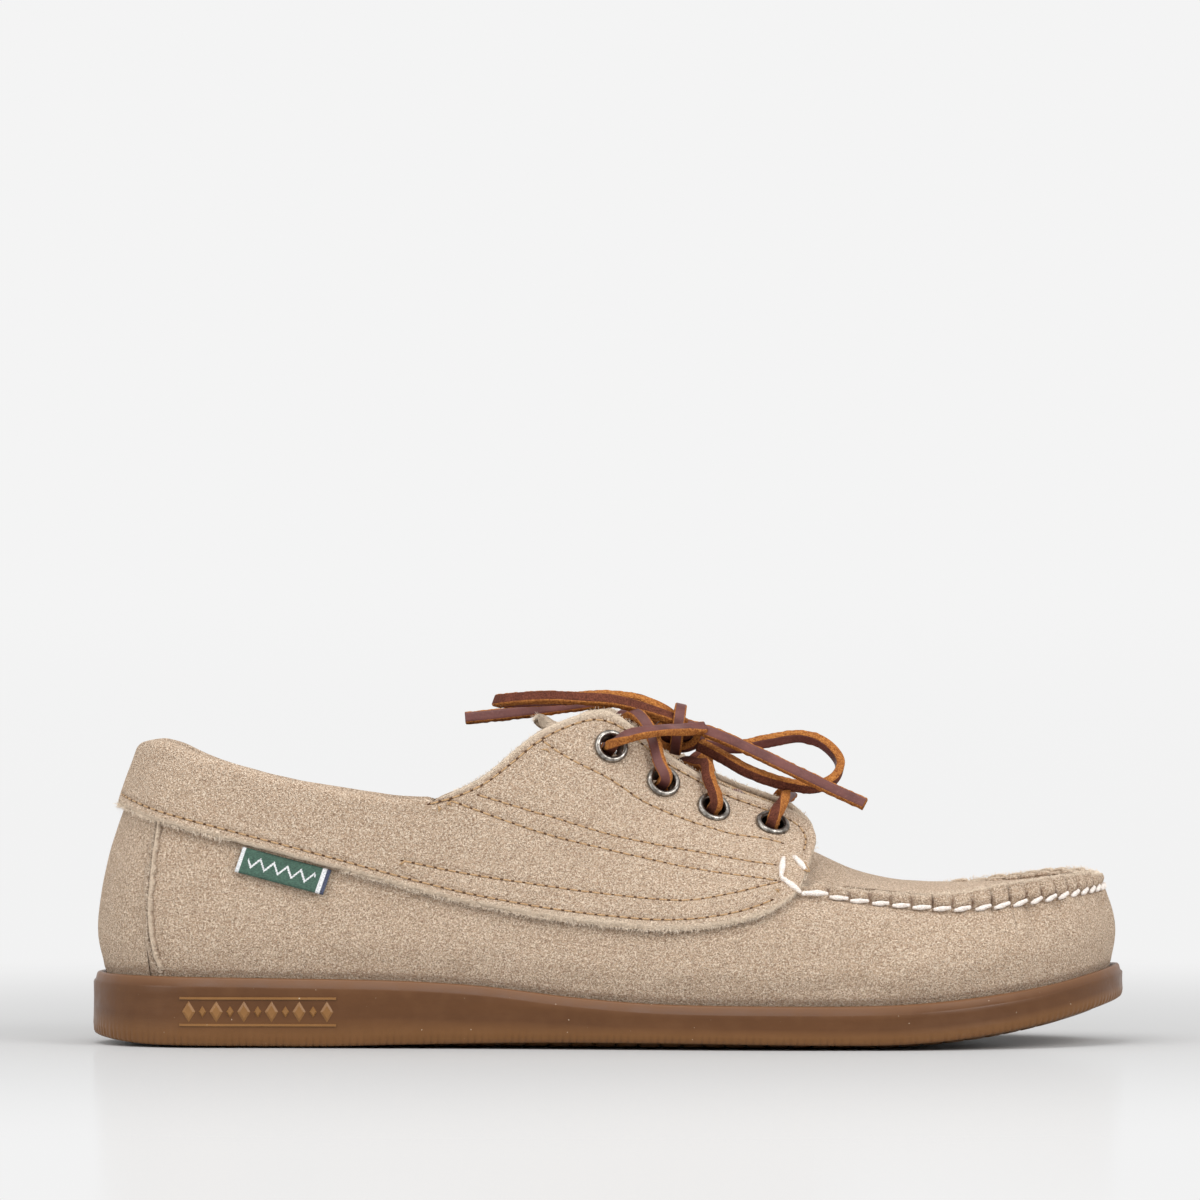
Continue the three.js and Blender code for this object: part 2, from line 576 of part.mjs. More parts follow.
// ---- Tongue ------------------------------------------------------------------------------------------
const TONGUE_ROOT_X = 57;
const TONGUE_END_X = -21;
const tongueHalf = rail([[-21, 14], [-18, 18], [-10, 19.6], [0, 19], [13, 19.5], [27, 19], [45, 17],
  [57, 15.5]]);
const tongueBow = rail([[-21, 0.003], [-12, 0.007], [-1.5, 0.014], [13, 0.0208], [27, 0.0228], [45, 0.013],
  [57, 0.006]]);

function tongue() {
  const across = range(-1, 1, 8);
  const columns = [...range(TONGUE_END_X, -17, 2), ...range(-17, TONGUE_ROOT_X, 10).slice(1)];
  const surface = (x, share, drop) => {
    const y = share * tongueHalf(x);
    return new THREE.Vector3(x, y + spineY(x), tongueCrown(x) - tongueBow(x) * y * y - drop);
  };
  return loft(columns.map((x) => [across.map((t) => surface(x, t, 0)),
    across.map((t) => surface(x, t, TONGUE_THICK))]), {});
}
add("tongue", tongue(), suede);

// ---- Woven side label, sewn in under the quarter's edge --------------------------------------
const LABEL_FROM_X = -103.9;
const LABEL_TO_X = -78.7;
const LABEL_DROP = 7.2;
const LABEL_OUT = 0.4;
const LABEL_THICK = 0.9;

function sideLabel() {
  const sections = range(0, 1, 6).map((t) => {
    const topX = mix(LABEL_FROM_X, LABEL_TO_X, t);
    const topZ = quarterEdge(topX) - 0.7;
    const column = (out) => range(0, 1, 2).map((d) =>
      onSide(LATERAL, topX - 2.4 * d, topZ - LABEL_DROP * d, out).point);
    return [column(LABEL_OUT + LABEL_THICK), column(LABEL_OUT)];
  });
  return loft(sections, {});
}
add("side_label", sideLabel(), greenWeave);

// ---- Lace: one leather thong through the eyelets, tied in a bow --------------------------------
const vec = (x, y, z) => new THREE.Vector3(x, y, z);
const INSIDE = -5;
const OUTSIDE = 5.2;
const atEyelet = (side, number, out) => {
  const [x, z] = EYELETS[number - 1];
  return onSide(side, x, z, out).point;
};

// Three points over a facing's edge, from its outside to above the tongue, this far above the edge.
function overEdge(side, x, rise) {
  const wall = wallAt(side, runAtX(x));
  const edgeZ = topEdge(x) + facingLift(side, x);
  const edge = wallPoint(wall, edgeZ, QUARTER_OUT);
  return [
    wallPoint(wall, edgeZ - 2.5, QUARTER_OUT + 3.2),
    edge.clone().add(vec(-0.6, 0, rise)),
    edge.clone().add(vec(-2.6, -side * 5.5, rise)),
  ];
}

// Half of the lacing, from inside a fourth eyelet to outside a first one; stack keeps it clear of its twin.
function lacingHalf(start, stack) {
  const other = -start;
  const through = (side, number) => [INSIDE, 0, OUTSIDE].map((out) => atEyelet(side, number, out));
  return [
    atEyelet(start, 4, INSIDE), vec(37, 0, 66.8 + stack), ...through(other, 3),
    ...overEdge(other, 28.6, 3), vec(20.5, 0, 76 + stack), ...through(start, 2),
    vec(14.6, start * 26.2, 80.6), vec(13.2, start * 23.8, 86), vec(11.6, start * 21, 90.4),
    vec(8, start * 17, 93.8), vec(5, start * 9, 92.2 + stack / 3), vec(2.4, 0, 87.4 + stack),
    ...through(other, 1),
  ];
}

const KNOT = vec(19.5, -5, 88.8);
const frontBar = [vec(50.6, -14.6, 70.4), vec(52, -6, 70.6), vec(52, 6, 71), vec(50.6, 14.4, 72)];
const laced = [
  vec(27.4, -13.4, 90), vec(21.6, -17.5, 89.6), vec(13.9, -27, 89.6), vec(5.8, -29.8, 88.2),
  ...lacingHalf(MEDIAL, 3.6).reverse(),
  atEyelet(MEDIAL, 4, 0), atEyelet(MEDIAL, 4, OUTSIDE), ...frontBar.slice().reverse(),
  atEyelet(LATERAL, 4, OUTSIDE), atEyelet(LATERAL, 4, 0),
  ...lacingHalf(LATERAL, 0),
  vec(5.8, 27.6, 88.8), vec(12.4, 19, 91.6), vec(17.2, 7.5, 91.6),
];
add("lace_laced", tube(laced, LACE_R, 8, 7), laceLeather);

const knotShape = new THREE.SphereGeometry(1, 12, 8).scale(5.4, 6.2, 4.6);
add("lace_knot", knotShape, laceLeather).position.copy(KNOT);

const freeRuns = {
  lace_end_front: [[28.4, -13.2, 89.2], [38, -15, 84.9], [50, -18.5, 79.3], [62, -22, 73.6], [73, -25, 68.6]],
  lace_end_back: [[14.6, 2.2, 94.6], [8, 8, 97.5], [-2, 12.5, 96.6], [-14, 15, 95], [-27, 17, 93.3],
    [-41, 18.5, 91.8]],
  lace_loop_front: [[25.8, -7.6, 85], [31.6, -10, 82.2], [37.3, -12, 78.9], [44.2, -13.4, 75.9],
    [52.5, -13, 73.6], [59, -10.4, 73], [64.6, -6.2, 75.4], [66.2, -1.6, 79.8], [61.7, 2.4, 85],
    [55.1, 4.4, 87], [45.1, 4.2, 85.6], [36.5, 2.6, 84], [27.4, -0.4, 85.2]],
  lace_loop_back: [[15, -9.6, 94], [10.4, -11.4, 95.4], [2, -14.4, 97.6], [-6.2, -16.6, 98.4],
    [-14.7, -17.6, 98.8], [-23, -16, 98.6], [-30.4, -10.4, 98], [-31.4, -4, 98.2], [-24, 1, 98.9],
    [-12, 2.2, 99.4], [0, 0.8, 99.2], [9, -2, 97.6], [15.6, -3.8, 95.8]],
};
for (const [name, places] of Object.entries(freeRuns)) {
  const points = places.map(([x, y, z]) => vec(x, y, z));
  add(name, tube(points, LACE_R, 8, 8), laceLeather);
}

export default shoe;
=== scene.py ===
# The look of a laced camp moccasin, right foot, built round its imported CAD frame.
# The shoe's surfaces are worked out in millimetres, in the frame's own axes: +X towards the toe,
# +Y towards the medial side, +Z up. MM turns them into metres when a mesh is made.
import math

import bmesh
import bpy
import numpy as np
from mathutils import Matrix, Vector
from mathutils.kdtree import KDTree


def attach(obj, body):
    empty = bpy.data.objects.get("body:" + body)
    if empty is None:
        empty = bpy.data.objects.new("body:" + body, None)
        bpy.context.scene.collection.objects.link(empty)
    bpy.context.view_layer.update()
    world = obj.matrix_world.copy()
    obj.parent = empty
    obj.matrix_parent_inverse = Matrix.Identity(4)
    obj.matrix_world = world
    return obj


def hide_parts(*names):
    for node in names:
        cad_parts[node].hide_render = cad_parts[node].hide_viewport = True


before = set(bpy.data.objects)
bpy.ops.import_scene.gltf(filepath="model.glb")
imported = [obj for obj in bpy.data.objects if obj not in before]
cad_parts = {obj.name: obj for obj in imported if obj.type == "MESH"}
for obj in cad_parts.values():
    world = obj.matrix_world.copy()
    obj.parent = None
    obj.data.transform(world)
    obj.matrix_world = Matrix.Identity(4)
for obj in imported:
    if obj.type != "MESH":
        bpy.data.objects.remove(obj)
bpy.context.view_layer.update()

MM = 0.001
LATERAL = -1.0
MEDIAL = 1.0
SIDES = ((LATERAL, "lateral"), (MEDIAL, "medial"))

# ---- Camera --------------------------------------------------------------------------------------
VIEW_WIDTH = 343.4 * MM
VIEW_CENTRE = Vector((-2.4, 0, 126.2)) * MM
VIEW_DISTANCE = 5.0
VIEW_ELEVATION = math.radians(1.3)
VIEW_REACH = 60
SENSOR = 36.0

camera_data = bpy.data.cameras.new("camera")
camera = bpy.data.objects.new("camera", camera_data)
bpy.context.collection.objects.link(camera)
bpy.context.scene.camera = camera
camera_data.sensor_width = SENSOR
camera_data.lens = SENSOR * VIEW_DISTANCE / VIEW_WIDTH
camera_data.clip_end = VIEW_REACH
back = Vector((0, -math.cos(VIEW_ELEVATION), math.sin(VIEW_ELEVATION)))
camera.location = VIEW_CENTRE + back * VIEW_DISTANCE
camera.rotation_euler = (-back).to_track_quat("-Z", "Y").to_euler()


# ---- Small maths ---------------------------------------------------------------------------------
def mix(a, b, t):
    return a + (b - a) * t


def smooth(low, high, v):
    t = np.clip((np.asarray(v, float) - low) / (high - low), 0, 1)
    return t * t * (3 - 2 * t)


def unit(v):
    return v / np.maximum(np.linalg.norm(v, axis=-1, keepdims=True), 1e-12)


def hermite(x, x0, x1, y0, y1, slope0, slope1):
    h = x1 - x0
    t = (x - x0) / h
    rise = y1 - y0 - h * slope0
    fall = h * slope1 - (y1 - y0)
    return y0 + t * h * slope0 + t * t * (rise + (1 - t) * (rise - fall))


def rail(points):
    """A smooth curve through points (x, y), as a function of x; it runs on straight past its ends."""
    xs, ys = np.array(points, float).T
    before = np.r_[0, np.arange(len(xs) - 1)]
    after = np.r_[np.arange(1, len(xs)), len(xs) - 1]
    slopes = (ys[after] - ys[before]) / (xs[after] - xs[before])

    def curve(x):
        x = np.asarray(x, float)
        i = np.clip(np.searchsorted(xs, x, side="right") - 1, 0, len(xs) - 2)
        inside = hermite(x, xs[i], xs[i + 1], ys[i], ys[i + 1], slopes[i], slopes[i + 1])
        below = ys[0] + slopes[0] * (x - xs[0])
        above = ys[-1] + slopes[-1] * (x - xs[-1])
        return np.where(x <= xs[0], below, np.where(x >= xs[-1], above, inside))

    return curve


WAVE_COUNT = 10


def waves(seed, wavelength):
    """Smooth seeded noise in space, about -1 to 1, from a few crossing waves."""
    rng = np.random.default_rng(seed)
    directions = unit(rng.normal(size=(WAVE_COUNT, 3)))
    numbers = 2 * np.pi / (wavelength * rng.uniform(0.7, 1.5, WAVE_COUNT))
    phases = rng.uniform(0, 2 * np.pi, WAVE_COUNT)

    def value(points):
        crossing = points @ (directions * numbers[:, None]).T + phases
        return np.sin(crossing).sum(-1) / math.sqrt(WAVE_COUNT)

    return value


# ---- Driving dimensions, the same as the CAD model's ---------------------------------------------
LENGTH = 295
HEEL_CENTRE_X = -112
TOE_ARC_X = 70
TOE_CENTRE_X = 92
ROUND_POWER = 2.06
GAP = 0.3
SUEDE = 1.8
LINING = 1.2
SOLE_RIM = 2.2
BOARD = 1.8
FOOTBED = 4
HEEL_PAD = 2.7
FEATHER_INSET = 3.7
OVERLAP = 7
HEEL_SEAM_X = -132.5
LINING_END_X = -46
HEEL_RUN = 56
TOE_RUN = 100
BODY_RUN = TOE_ARC_X - HEEL_CENTRE_X
WHOLE_RUN = HEEL_RUN + BODY_RUN + TOE_RUN
HEEL_RADIUS = LENGTH / 2 + HEEL_CENTRE_X
TOE_RADIUS = LENGTH / 2 - TOE_ARC_X
QUARTER_IN = 1.5 * GAP
QUARTER_OUT = QUARTER_IN + SUEDE
EYELETS = ((0.2, 84.2), (14.9, 73.9), (29.2, 66.1), (46.2, 61.1))

# ---- Side-view rails: height over x --------------------------------------------------------------
sole_top = rail([(-148, 20.1), (-96, 19.4), (-60, 18.8), (-36, 17.4), (-10, 14.4),
                 (14, 12.6), (50, 12.1), (80, 12.4), (101, 14), (124, 17.2), (144, 21.7)])
sole_edge_lift = rail([(-148, 0.3), (-100, 0.1), (-80, 0.1), (-60, 0.6), (-20, 1.4), (20, 1.4),
                       (60, 1), (148, 1)])
waist = rail([(-148, 54), (-98, 52), (-40, 48), (0, 44.5), (30, 43.5), (54.8, 44.6), (66, 42.3),
              (77.7, 40.9), (92, 39.5), (100.6, 39.2), (112, 40), (123.5, 41.5), (134.9, 43.2),
              (142, 44.2)])
top_edge = rail([(-135, 85), (-127, 86.6), (-117, 83.3), (-98, 77.5), (-78, 73.6), (-59, 70.7),
                 (-49, 71), (-42, 73.2), (-34.5, 77.5), (-27, 83.8), (-20, 89), (-11, 92.9),
                 (-2, 95.2), (4, 92.6), (15.6, 83), (32.4, 73), (47.5, 67), (53, 65), (56.5, 62.6),
                 (58.5, 59.8), (59.2, 57.6)])
shoulder = rail([(-135, 85), (-127, 86.6), (-98, 77.5), (-59, 70.7), (-42, 73.2), (-27, 83.8),
                 (-11, 92.9), (-2, 95.2), (15.6, 83), (32.4, 73), (47.5, 67), (60, 62), (75, 56)])
quarter_edge = rail([(-141, 68.2), (-128.6, 63.5), (-104.9, 57.3), (-80.3, 50.9), (-43.5, 41.2),
                     (-19.4, 36.6), (0, 34), (17.3, 33), (32.8, 34.3), (45, 37.6), (51, 41),
                     (54.2, 44), (56, 48), (57.6, 52), (58.7, 55.2), (59.2, 56.8)])
ridge_top = rail([(50, 46.4), (62, 46.1), (75, 44.6), (92, 43.8), (112, 46.1), (129, 48.2),
                  (136, 48.8), (142, 47.6)])
facing_seam = rail([(-46, 70), (-19.4, 60.4), (-3.3, 56.2), (21.2, 50.4), (38, 48.2), (52, 48.6)])
plug_crown = rail([(50, 58), (58.8, 54.2), (69.3, 49.4), (80, 46.6), (92, 45.2)])
tongue_crown = rail([(-21, 92.6), (-12, 89.6), (-1.5, 84.2), (13, 75), (27, 66.6), (45, 57.6),
                     (52, 54.6), (57, 52.2)])

# ---- Plan view -----------------------------------------------------------------------------------
lateral_half = rail([(-148, 35.2), (-112, 35.6), (-80, 37), (-40, 40.4), (0, 46.4), (30, 51),
                     (52, 52.9), (70, 53.35), (92, 54.4), (148, 55)])
medial_half = rail([(-148, 34.6), (-112, 34.8), (-80, 34.6), (-40, 35.8), (0, 41), (30, 47),
                    (52, 50.5), (70, 51.8), (92, 52.4), (148, 53)])
spine_y = rail([(-148, 0), (0, 0), (60, 0.4), (92, 1.6), (120, 3.6), (148, 6.5)])
bulge_inset = {
    LATERAL: rail([(-148, 1.7), (-60, 2), (0, 1.7), (60, 1.5), (100, 1.8), (148, 2.6)]),
    MEDIAL: rail([(-148, 1.7), (-90, 2.4), (-30, 4), (10, 3.2), (60, 1.6), (100, 1.8), (148, 2.6)]),
}
waist_inset = rail([(-148, 4.8), (-98, 4.6), (-40, 5.4), (0, 7.4), (30, 8.8), (60, 10), (90, 9.4),
                    (120, 7.8), (148, 6)])
top_inset = {
    LATERAL: rail([(-148, 16), (-138, 15), (-117, 11.6), (-98, 8.8), (-59, 7.8), (-42, 9.8),
                   (-27, 15), (-11, 22.4), (0, 27), (15.6, 31), (32.4, 36), (47.5, 39), (60, 40),
                   (75, 42)]),
    MEDIAL: rail([(-148, 16), (-138, 15), (-117, 11.6), (-98, 8.4), (-59, 6.8), (-42, 8.2),
                  (-27, 12), (-11, 18), (0, 22), (15.6, 27.4), (32.4, 34), (47.5, 37.4), (60, 39),
                  (75, 42)]),
}


def by_side(curves, side, x):
    return np.where(side < 0, curves[LATERAL](x), curves[MEDIAL](x))


# ---- Stations round the edge ---------------------------------------------------------------------
RIDGE_START_X = 60
RIDGE_FULL_X = 68
RIDGE_LEAN = 0.1
BULGE_RISE = 11
TOE_BOX_FROM_X = 58
TOE_BOX_TO_X = 90
TOE_BOX_RISE = 14
TOE_BOX_IN = 9
PROBE = 0.5
ROUNDS = 8


class Wall:
    """The upper's outer surface at stations round the sole's edge, as inset over height.

    Run 0 is the back of the heel and WHOLE_RUN the tip of the toe. Heights are arrays whose
    last axis is the stations'.
    """

    def __init__(self, side, run, ridge=False):
        self.run = np.asarray(run, float)
        self.side = np.broadcast_to(side, self.run.shape).astype(float)
        heel_turn = np.clip(self.run / HEEL_RUN, 0, 1) * np.pi / 2
        toe_turn = np.clip((WHOLE_RUN - self.run) / TOE_RUN, 0, 1) * np.pi / 2
        power = 2 / ROUND_POWER
        in_heel = self.run < HEEL_RUN
        in_toe = self.run > HEEL_RUN + BODY_RUN
        heel_x = HEEL_CENTRE_X - HEEL_RADIUS * np.maximum(np.cos(heel_turn), 0) ** power
        toe_x = TOE_ARC_X + TOE_RADIUS * np.maximum(np.cos(toe_turn), 0) ** power
        side_x = HEEL_CENTRE_X + self.run - HEEL_RUN
        self.x = np.where(in_heel, heel_x, np.where(in_toe, toe_x, side_x))
        roundness = np.where(in_heel, np.maximum(np.sin(heel_turn), 0) ** power, 1)
        roundness = np.where(in_toe, np.maximum(np.sin(toe_turn), 0) ** power, roundness)
        half = np.where(self.side < 0, lateral_half(self.x), medial_half(self.x))
        self.y = spine_y(self.x) + self.side * half * roundness
        spine_x = np.clip(self.x, HEEL_CENTRE_X, TOE_CENTRE_X)
        to_x = spine_x - self.x
        to_y = spine_y(spine_x) - self.y
        self.reach = np.hypot(to_x, to_y)
        self.in_x = to_x / self.reach
        self.in_y = to_y / self.reach
        self._set_levels()
        self.upright = np.zeros_like(self.x)
        self.seam_z = self.meet(waist)
        if ridge:  # the turned-up edge stands upright above the seam
            self.seam_inset = self.inset(self.seam_z)
            self.upright = smooth(RIDGE_START_X, RIDGE_FULL_X, self.x)

    def _set_levels(self):
        feather = np.full_like(self.x, FEATHER_INSET)
        bulge = by_side(bulge_inset, self.side, self.x)
        seam = waist_inset(self.x)
        instep = by_side(top_inset, self.side, self.x)
        seam_z = waist(self.x_at(seam))
        toe_box = smooth(TOE_BOX_FROM_X, TOE_BOX_TO_X, self.x)
        self.levels_z = np.stack([
            sole_top(self.x_at(feather)) - 0.5,
            sole_top(self.x_at(bulge)) + BULGE_RISE,
            seam_z,
            mix(shoulder(self.x_at(instep)), seam_z + TOE_BOX_RISE, toe_box),
        ])
        self.levels_in = np.stack([feather, bulge, seam, mix(instep, seam + TOE_BOX_IN, toe_box)])
        z, inset = self.levels_z, self.levels_in
        low, high = [0, 0, 1, 2], [1, 2, 3, 3]
        self.slopes = (inset[high] - inset[low]) / (z[high] - z[low])

    def x_at(self, inset):
        return self.x + self.in_x * inset

    def inset(self, z):
        levels, knots, slopes = self.levels_z, self.levels_in, self.slopes
        found = knots[0] + slopes[0] * (z - levels[0])
        for i in range(3):
            piece = hermite(z, levels[i], levels[i + 1], knots[i], knots[i + 1], slopes[i],
                            slopes[i + 1])
            found = np.where(z > levels[i], piece, found)
        found = np.where(z > levels[3], knots[3] + slopes[3] * (z - levels[3]), found)
        if self.upright.any():
            stood = self.seam_inset + RIDGE_LEAN * (z - self.seam_z)
            found = np.where(z > self.seam_z, mix(found, stood, self.upright), found)
        return found

    def meet(self, heights):
        """The height at which each station's wall meets a side-view rail."""
        z = heights(self.x)
        for _ in range(ROUNDS):
            z = heights(self.x_at(self.inset(z)))
        return z

    def lean(self, z):
        return np.arctan(self.inset(z + PROBE) - self.inset(z - PROBE))

    def inward(self, inset, height):
        """Points this far in from the edge; a height given as a rail is read at the point's own x."""
        inset = inset + np.zeros_like(self.x)
        x = self.x_at(inset)
        z = height(x) if callable(height) else height + np.zeros_like(x)
        return np.stack([x, self.y + self.in_y * inset, z], -1)

    def point(self, z, out=0.0):
        """Points at these heights, moved out along the section's own normal."""
        lean = self.lean(z)
        return self.inward(self.inset(z) - out * np.cos(lean), z + out * np.sin(lean))


def run_at(x):
    x = np.asarray(x, float)
    heel = np.clip((HEEL_CENTRE_X - x) / HEEL_RADIUS, 0, 1) ** (ROUND_POWER / 2)
    toe = np.clip((x - TOE_ARC_X) / TOE_RADIUS, 0, 1) ** (ROUND_POWER / 2)
    heel_run = np.arccos(heel) / (np.pi / 2) * HEEL_RUN
    toe_run = WHOLE_RUN - np.arccos(toe) / (np.pi / 2) * TOE_RUN
    return np.where(x < HEEL_CENTRE_X, heel_run,
                    np.where(x > TOE_ARC_X, toe_run, x - HEEL_CENTRE_X + HEEL_RUN))


def run_for(side, x, z):
    """The runs whose wall passes through places in the side view."""
    run = run_at(x)
    for _ in range(ROUNDS):
        wall = Wall(side, run)
        run = np.clip(run + x - wall.x_at(wall.inset(z)), 1, WHOLE_RUN - 1)
    return run


def surface(side, run, z, out=0.0):
    """Points of the upper's surface and its true outward normals, at runs and heights."""
    wall = Wall(side, run)
    here = wall.point(z)
    along = Wall(side, run + PROBE).point(z) - Wall(side, run - PROBE).point(z)
    up = wall.point(z + PROBE) - wall.point(z - PROBE)
    normal = unit(np.cross(along, up))
    wrong = np.sum(normal[..., :2] * np.stack([wall.in_x, wall.in_y], -1), -1) > 0
    normal = np.where(wrong[..., None], -normal, normal)
    return here + normal * np.asarray(out, float)[..., None], normal


def on_side(side, x, z, out=0.0):
    x, z = np.asarray(x, float), np.asarray(z, float)
    return surface(side, run_for(side, x, z), z, out)


def round_row(runs, whole=False, heel=False):
    """(sides, runs) from the lateral side round the toe, or round the heel, to the medial side."""
    if whole:
        near, far = runs, runs[-2:0:-1]
    elif heel:
        near, far = runs[:0:-1], runs
    else:
        near, far = runs, runs[-2::-1]
    return np.r_[np.full(len(near), LATERAL), np.full(len(far), MEDIAL)], np.r_[near, far]


def stepped(stops, spacings):
    """Values from stop to stop, each stretch with its own spacing."""
    parts = []
    for start, end, spacing in zip(stops, stops[1:], spacings):
        count = max(2, round(abs(end - start) / spacing) + 1)
        parts.append(np.linspace(start, end, count)[:-1])
    return np.r_[np.concatenate(parts), stops[-1]]


# ---- Meshes --------------------------------------------------------------------------------------
WELD_WITHIN = 0.002 * MM
SLIVER_WITHIN = 0.001 * MM


def volume_of(points, faces):
    a, b, c = points[faces[:, 0]], points[faces[:, 1]], points[faces[:, 2]]
    total = np.sum(a * np.cross(b, c))
    if faces.shape[1] == 4:
        total += np.sum(a * np.cross(c, points[faces[:, 3]]))
    return total / 6


def add_piece(name, points, faces, materials, body="shoe", slot=None, nodes=(), marks=None,
              face_kinds=None, weld=False):
    """A named closed mesh from points in millimetres; marks are numbers kept on its vertices."""
    points = np.asarray(points, float).reshape(-1, 3)
    faces = np.asarray(faces, int)
    if volume_of(points - points.mean(0), faces) < 0:
        faces = faces[:, ::-1]
    mesh = bpy.data.meshes.new(name)
    mesh.vertices.add(len(points))
    mesh.vertices.foreach_set("co", (points * MM).ravel())
    sides = faces.shape[1]
    mesh.loops.add(faces.size)
    mesh.loops.foreach_set("vertex_index", faces.ravel())
    mesh.polygons.add(len(faces))
    mesh.polygons.foreach_set("loop_start", np.arange(len(faces)) * sides)
    mesh.polygons.foreach_set("loop_total", np.full(len(faces), sides))
    if face_kinds is not None:
        mesh.polygons.foreach_set("material_index", np.asarray(face_kinds, np.int32))
    for mark, values in (marks or {}).items():
        layer = mesh.attributes.new(mark, "FLOAT", "POINT")
        layer.data.foreach_set("value", np.asarray(values, float).ravel())
    mesh.update(calc_edges=True)
    mesh.polygons.foreach_set("use_smooth", np.ones(len(faces), bool))
    if weld:
        editable = bmesh.new()
        editable.from_mesh(mesh)
        bmesh.ops.remove_doubles(editable, verts=editable.verts, dist=WELD_WITHIN)
        bmesh.ops.dissolve_degenerate(editable, edges=editable.edges, dist=SLIVER_WITHIN)
        editable.to_mesh(mesh)
        editable.free()
    mesh.validate()
    made = bpy.data.objects.new(name, mesh)
    bpy.context.collection.objects.link(made)
    for material in materials if isinstance(materials, (list, tuple)) else [materials]:
        mesh.materials.append(material)
    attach(made, body)
    if nodes:
        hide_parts(*nodes)
    return made


def strip(top, bottom, loop=False):
    """Quads between two rows of indices."""
    if loop:
        top, bottom = np.r_[top, top[:1]], np.r_[bottom, bottom[:1]]
    return np.stack([top[:-1], top[1:], bottom[1:], bottom[:-1]], 1)


def cap(ring, turned):
    """Quads that close a ring with an even number of corners."""
    half = len(ring) // 2
    pair = strip(ring[:half], ring[::-1][:half])
    return pair[:, ::-1] if turned else pair


def joined(parts):
    """Points, faces and face kinds of several (points, faces, kind) parts as one."""
    points, faces, kinds, start = [], [], [], 0
    for part_points, part_faces, kind in parts:
        points.append(part_points.reshape(-1, 3))
        faces.append(part_faces + start)
        kinds.append(np.broadcast_to(kind, len(part_faces)))
        start += len(points[-1])
    return np.concatenate(points), np.concatenate(faces), np.concatenate(kinds)


def swept(path, across, out, wide, high):
    """A section's points carried along a path; wide and high are (corners) or (rows, corners)."""
    return path[:, None] + across[:, None] * wide[..., None] + out[:, None] * high[..., None]


def shell(name, outer, inner, materials, meets=False, loop=False, marks=None, **facts):
    """A closed solid between two skins of points (levels, stations, 3), both from edge to edge.

    meets says that both skins end on the shoe's spine, where opposite stations share points.
    marks give (outer, inner) values of (levels, stations).
    """
    count_out, stations = outer.shape[:2]
    count_in = inner.shape[0]
    out = np.arange(count_out * stations).reshape(count_out, stations)
    inn = out.size + np.arange(count_in * stations).reshape(count_in, stations)
    faces = [strip(out[j], out[j + 1], loop) for j in range(count_out - 1)]
    faces += [strip(inn[j + 1], inn[j], loop) for j in range(count_in - 1)]
    faces.append(strip(inn[0], out[0], loop))
    if not meets:
        faces.append(strip(out[-1], inn[-1], loop))
    if not loop:
        for end, turned in ((0, False), (-1, True)):
            faces.append(cap(np.r_[out[::-1, end], inn[:, end]], turned))
    points = np.concatenate([outer.reshape(-1, 3), inner.reshape(-1, 3)])
    flat = {mark: np.r_[np.broadcast_to(a, outer.shape[:2]).ravel(),
                        np.broadcast_to(b, inner.shape[:2]).ravel()]
            for mark, (a, b) in (marks or {}).items()}
    return add_piece(name, points, np.concatenate(faces), materials, marks=flat, weld=True, **facts)


def grid_faces(rows, columns, loop_rows=False, loop_columns=False):
    index = np.arange(rows * columns).reshape(rows, columns)
    if loop_rows:
        index = np.r_[index, index[:1]]
    if loop_columns:
        index = np.c_[index, index[:, :1]]
    quads = np.stack([index[:-1, :-1], index[1:, :-1], index[1:, 1:], index[:-1, 1:]], -1)
    return quads.reshape(-1, 4)


def copies(template, faces, centres, along, up, scales):
    """Points and faces of a template repeated at centres; its axes are along, across and up."""
    along = unit(along)
    across = unit(np.cross(up, along))
    up = np.cross(along, across)
    axes = np.stack([along, across, up], 1) * scales[:, :, None]
    points = centres[:, None, :] + np.einsum("vk,nkc->nvc", template, axes)
    shift = (np.arange(len(centres)) * len(template))[:, None, None]
    return points.reshape(-1, 3), (faces[None] + shift).reshape(-1, faces.shape[1])


def capsule(rings, sides, arch=0.0, ply=0.0):
    """A unit thread stitch along X: round ends, an arch in Z, and ply for two twisted strands."""
    turn = np.linspace(0, np.pi, rings)
    x = -np.cos(turn)
    radius = np.sin(turn) ** 0.45
    angle = np.arange(sides) / sides * 2 * np.pi
    strand = 1 - ply + ply * np.abs(np.cos(angle[None, :] - 2.6 * x[:, None]))
    y = radius[:, None] * np.cos(angle) * strand
    z = radius[:, None] * np.sin(angle) * strand + arch * (1 - x[:, None] ** 2)
    grid = np.stack([np.broadcast_to(x[:, None], y.shape), y, z], -1)
    return grid.reshape(-1, 3), grid_faces(rings, sides, loop_columns=True)


# ---- Materials -----------------------------------------------------------------------------------
def colour(red, green, blue):
    """Linear colour from 0 to 255 display values."""
    parts = [v / 255 for v in (red, green, blue)]
    return tuple(v / 12.92 if v <= 0.04045 else ((v + 0.055) / 1.055) ** 2.4 for v in parts) + (1.0,)


def add_node(tree, kind, settings=None, **sockets):
    """A node whose sockets, by name or by number as i0 and i1, take a value or another's output."""
    made = tree.nodes.new(kind)
    for key, value in (settings or {}).items():
        setattr(made, key, value)
    for key, value in sockets.items():
        numbered = key[0] == "i" and key[1:].isdigit()
        socket = made.inputs[int(key[1:]) if numbered else key.replace("_", " ")]
        if isinstance(value, bpy.types.NodeSocket):
            tree.links.new(value, socket)
        else:
            socket.default_value = value
    return made


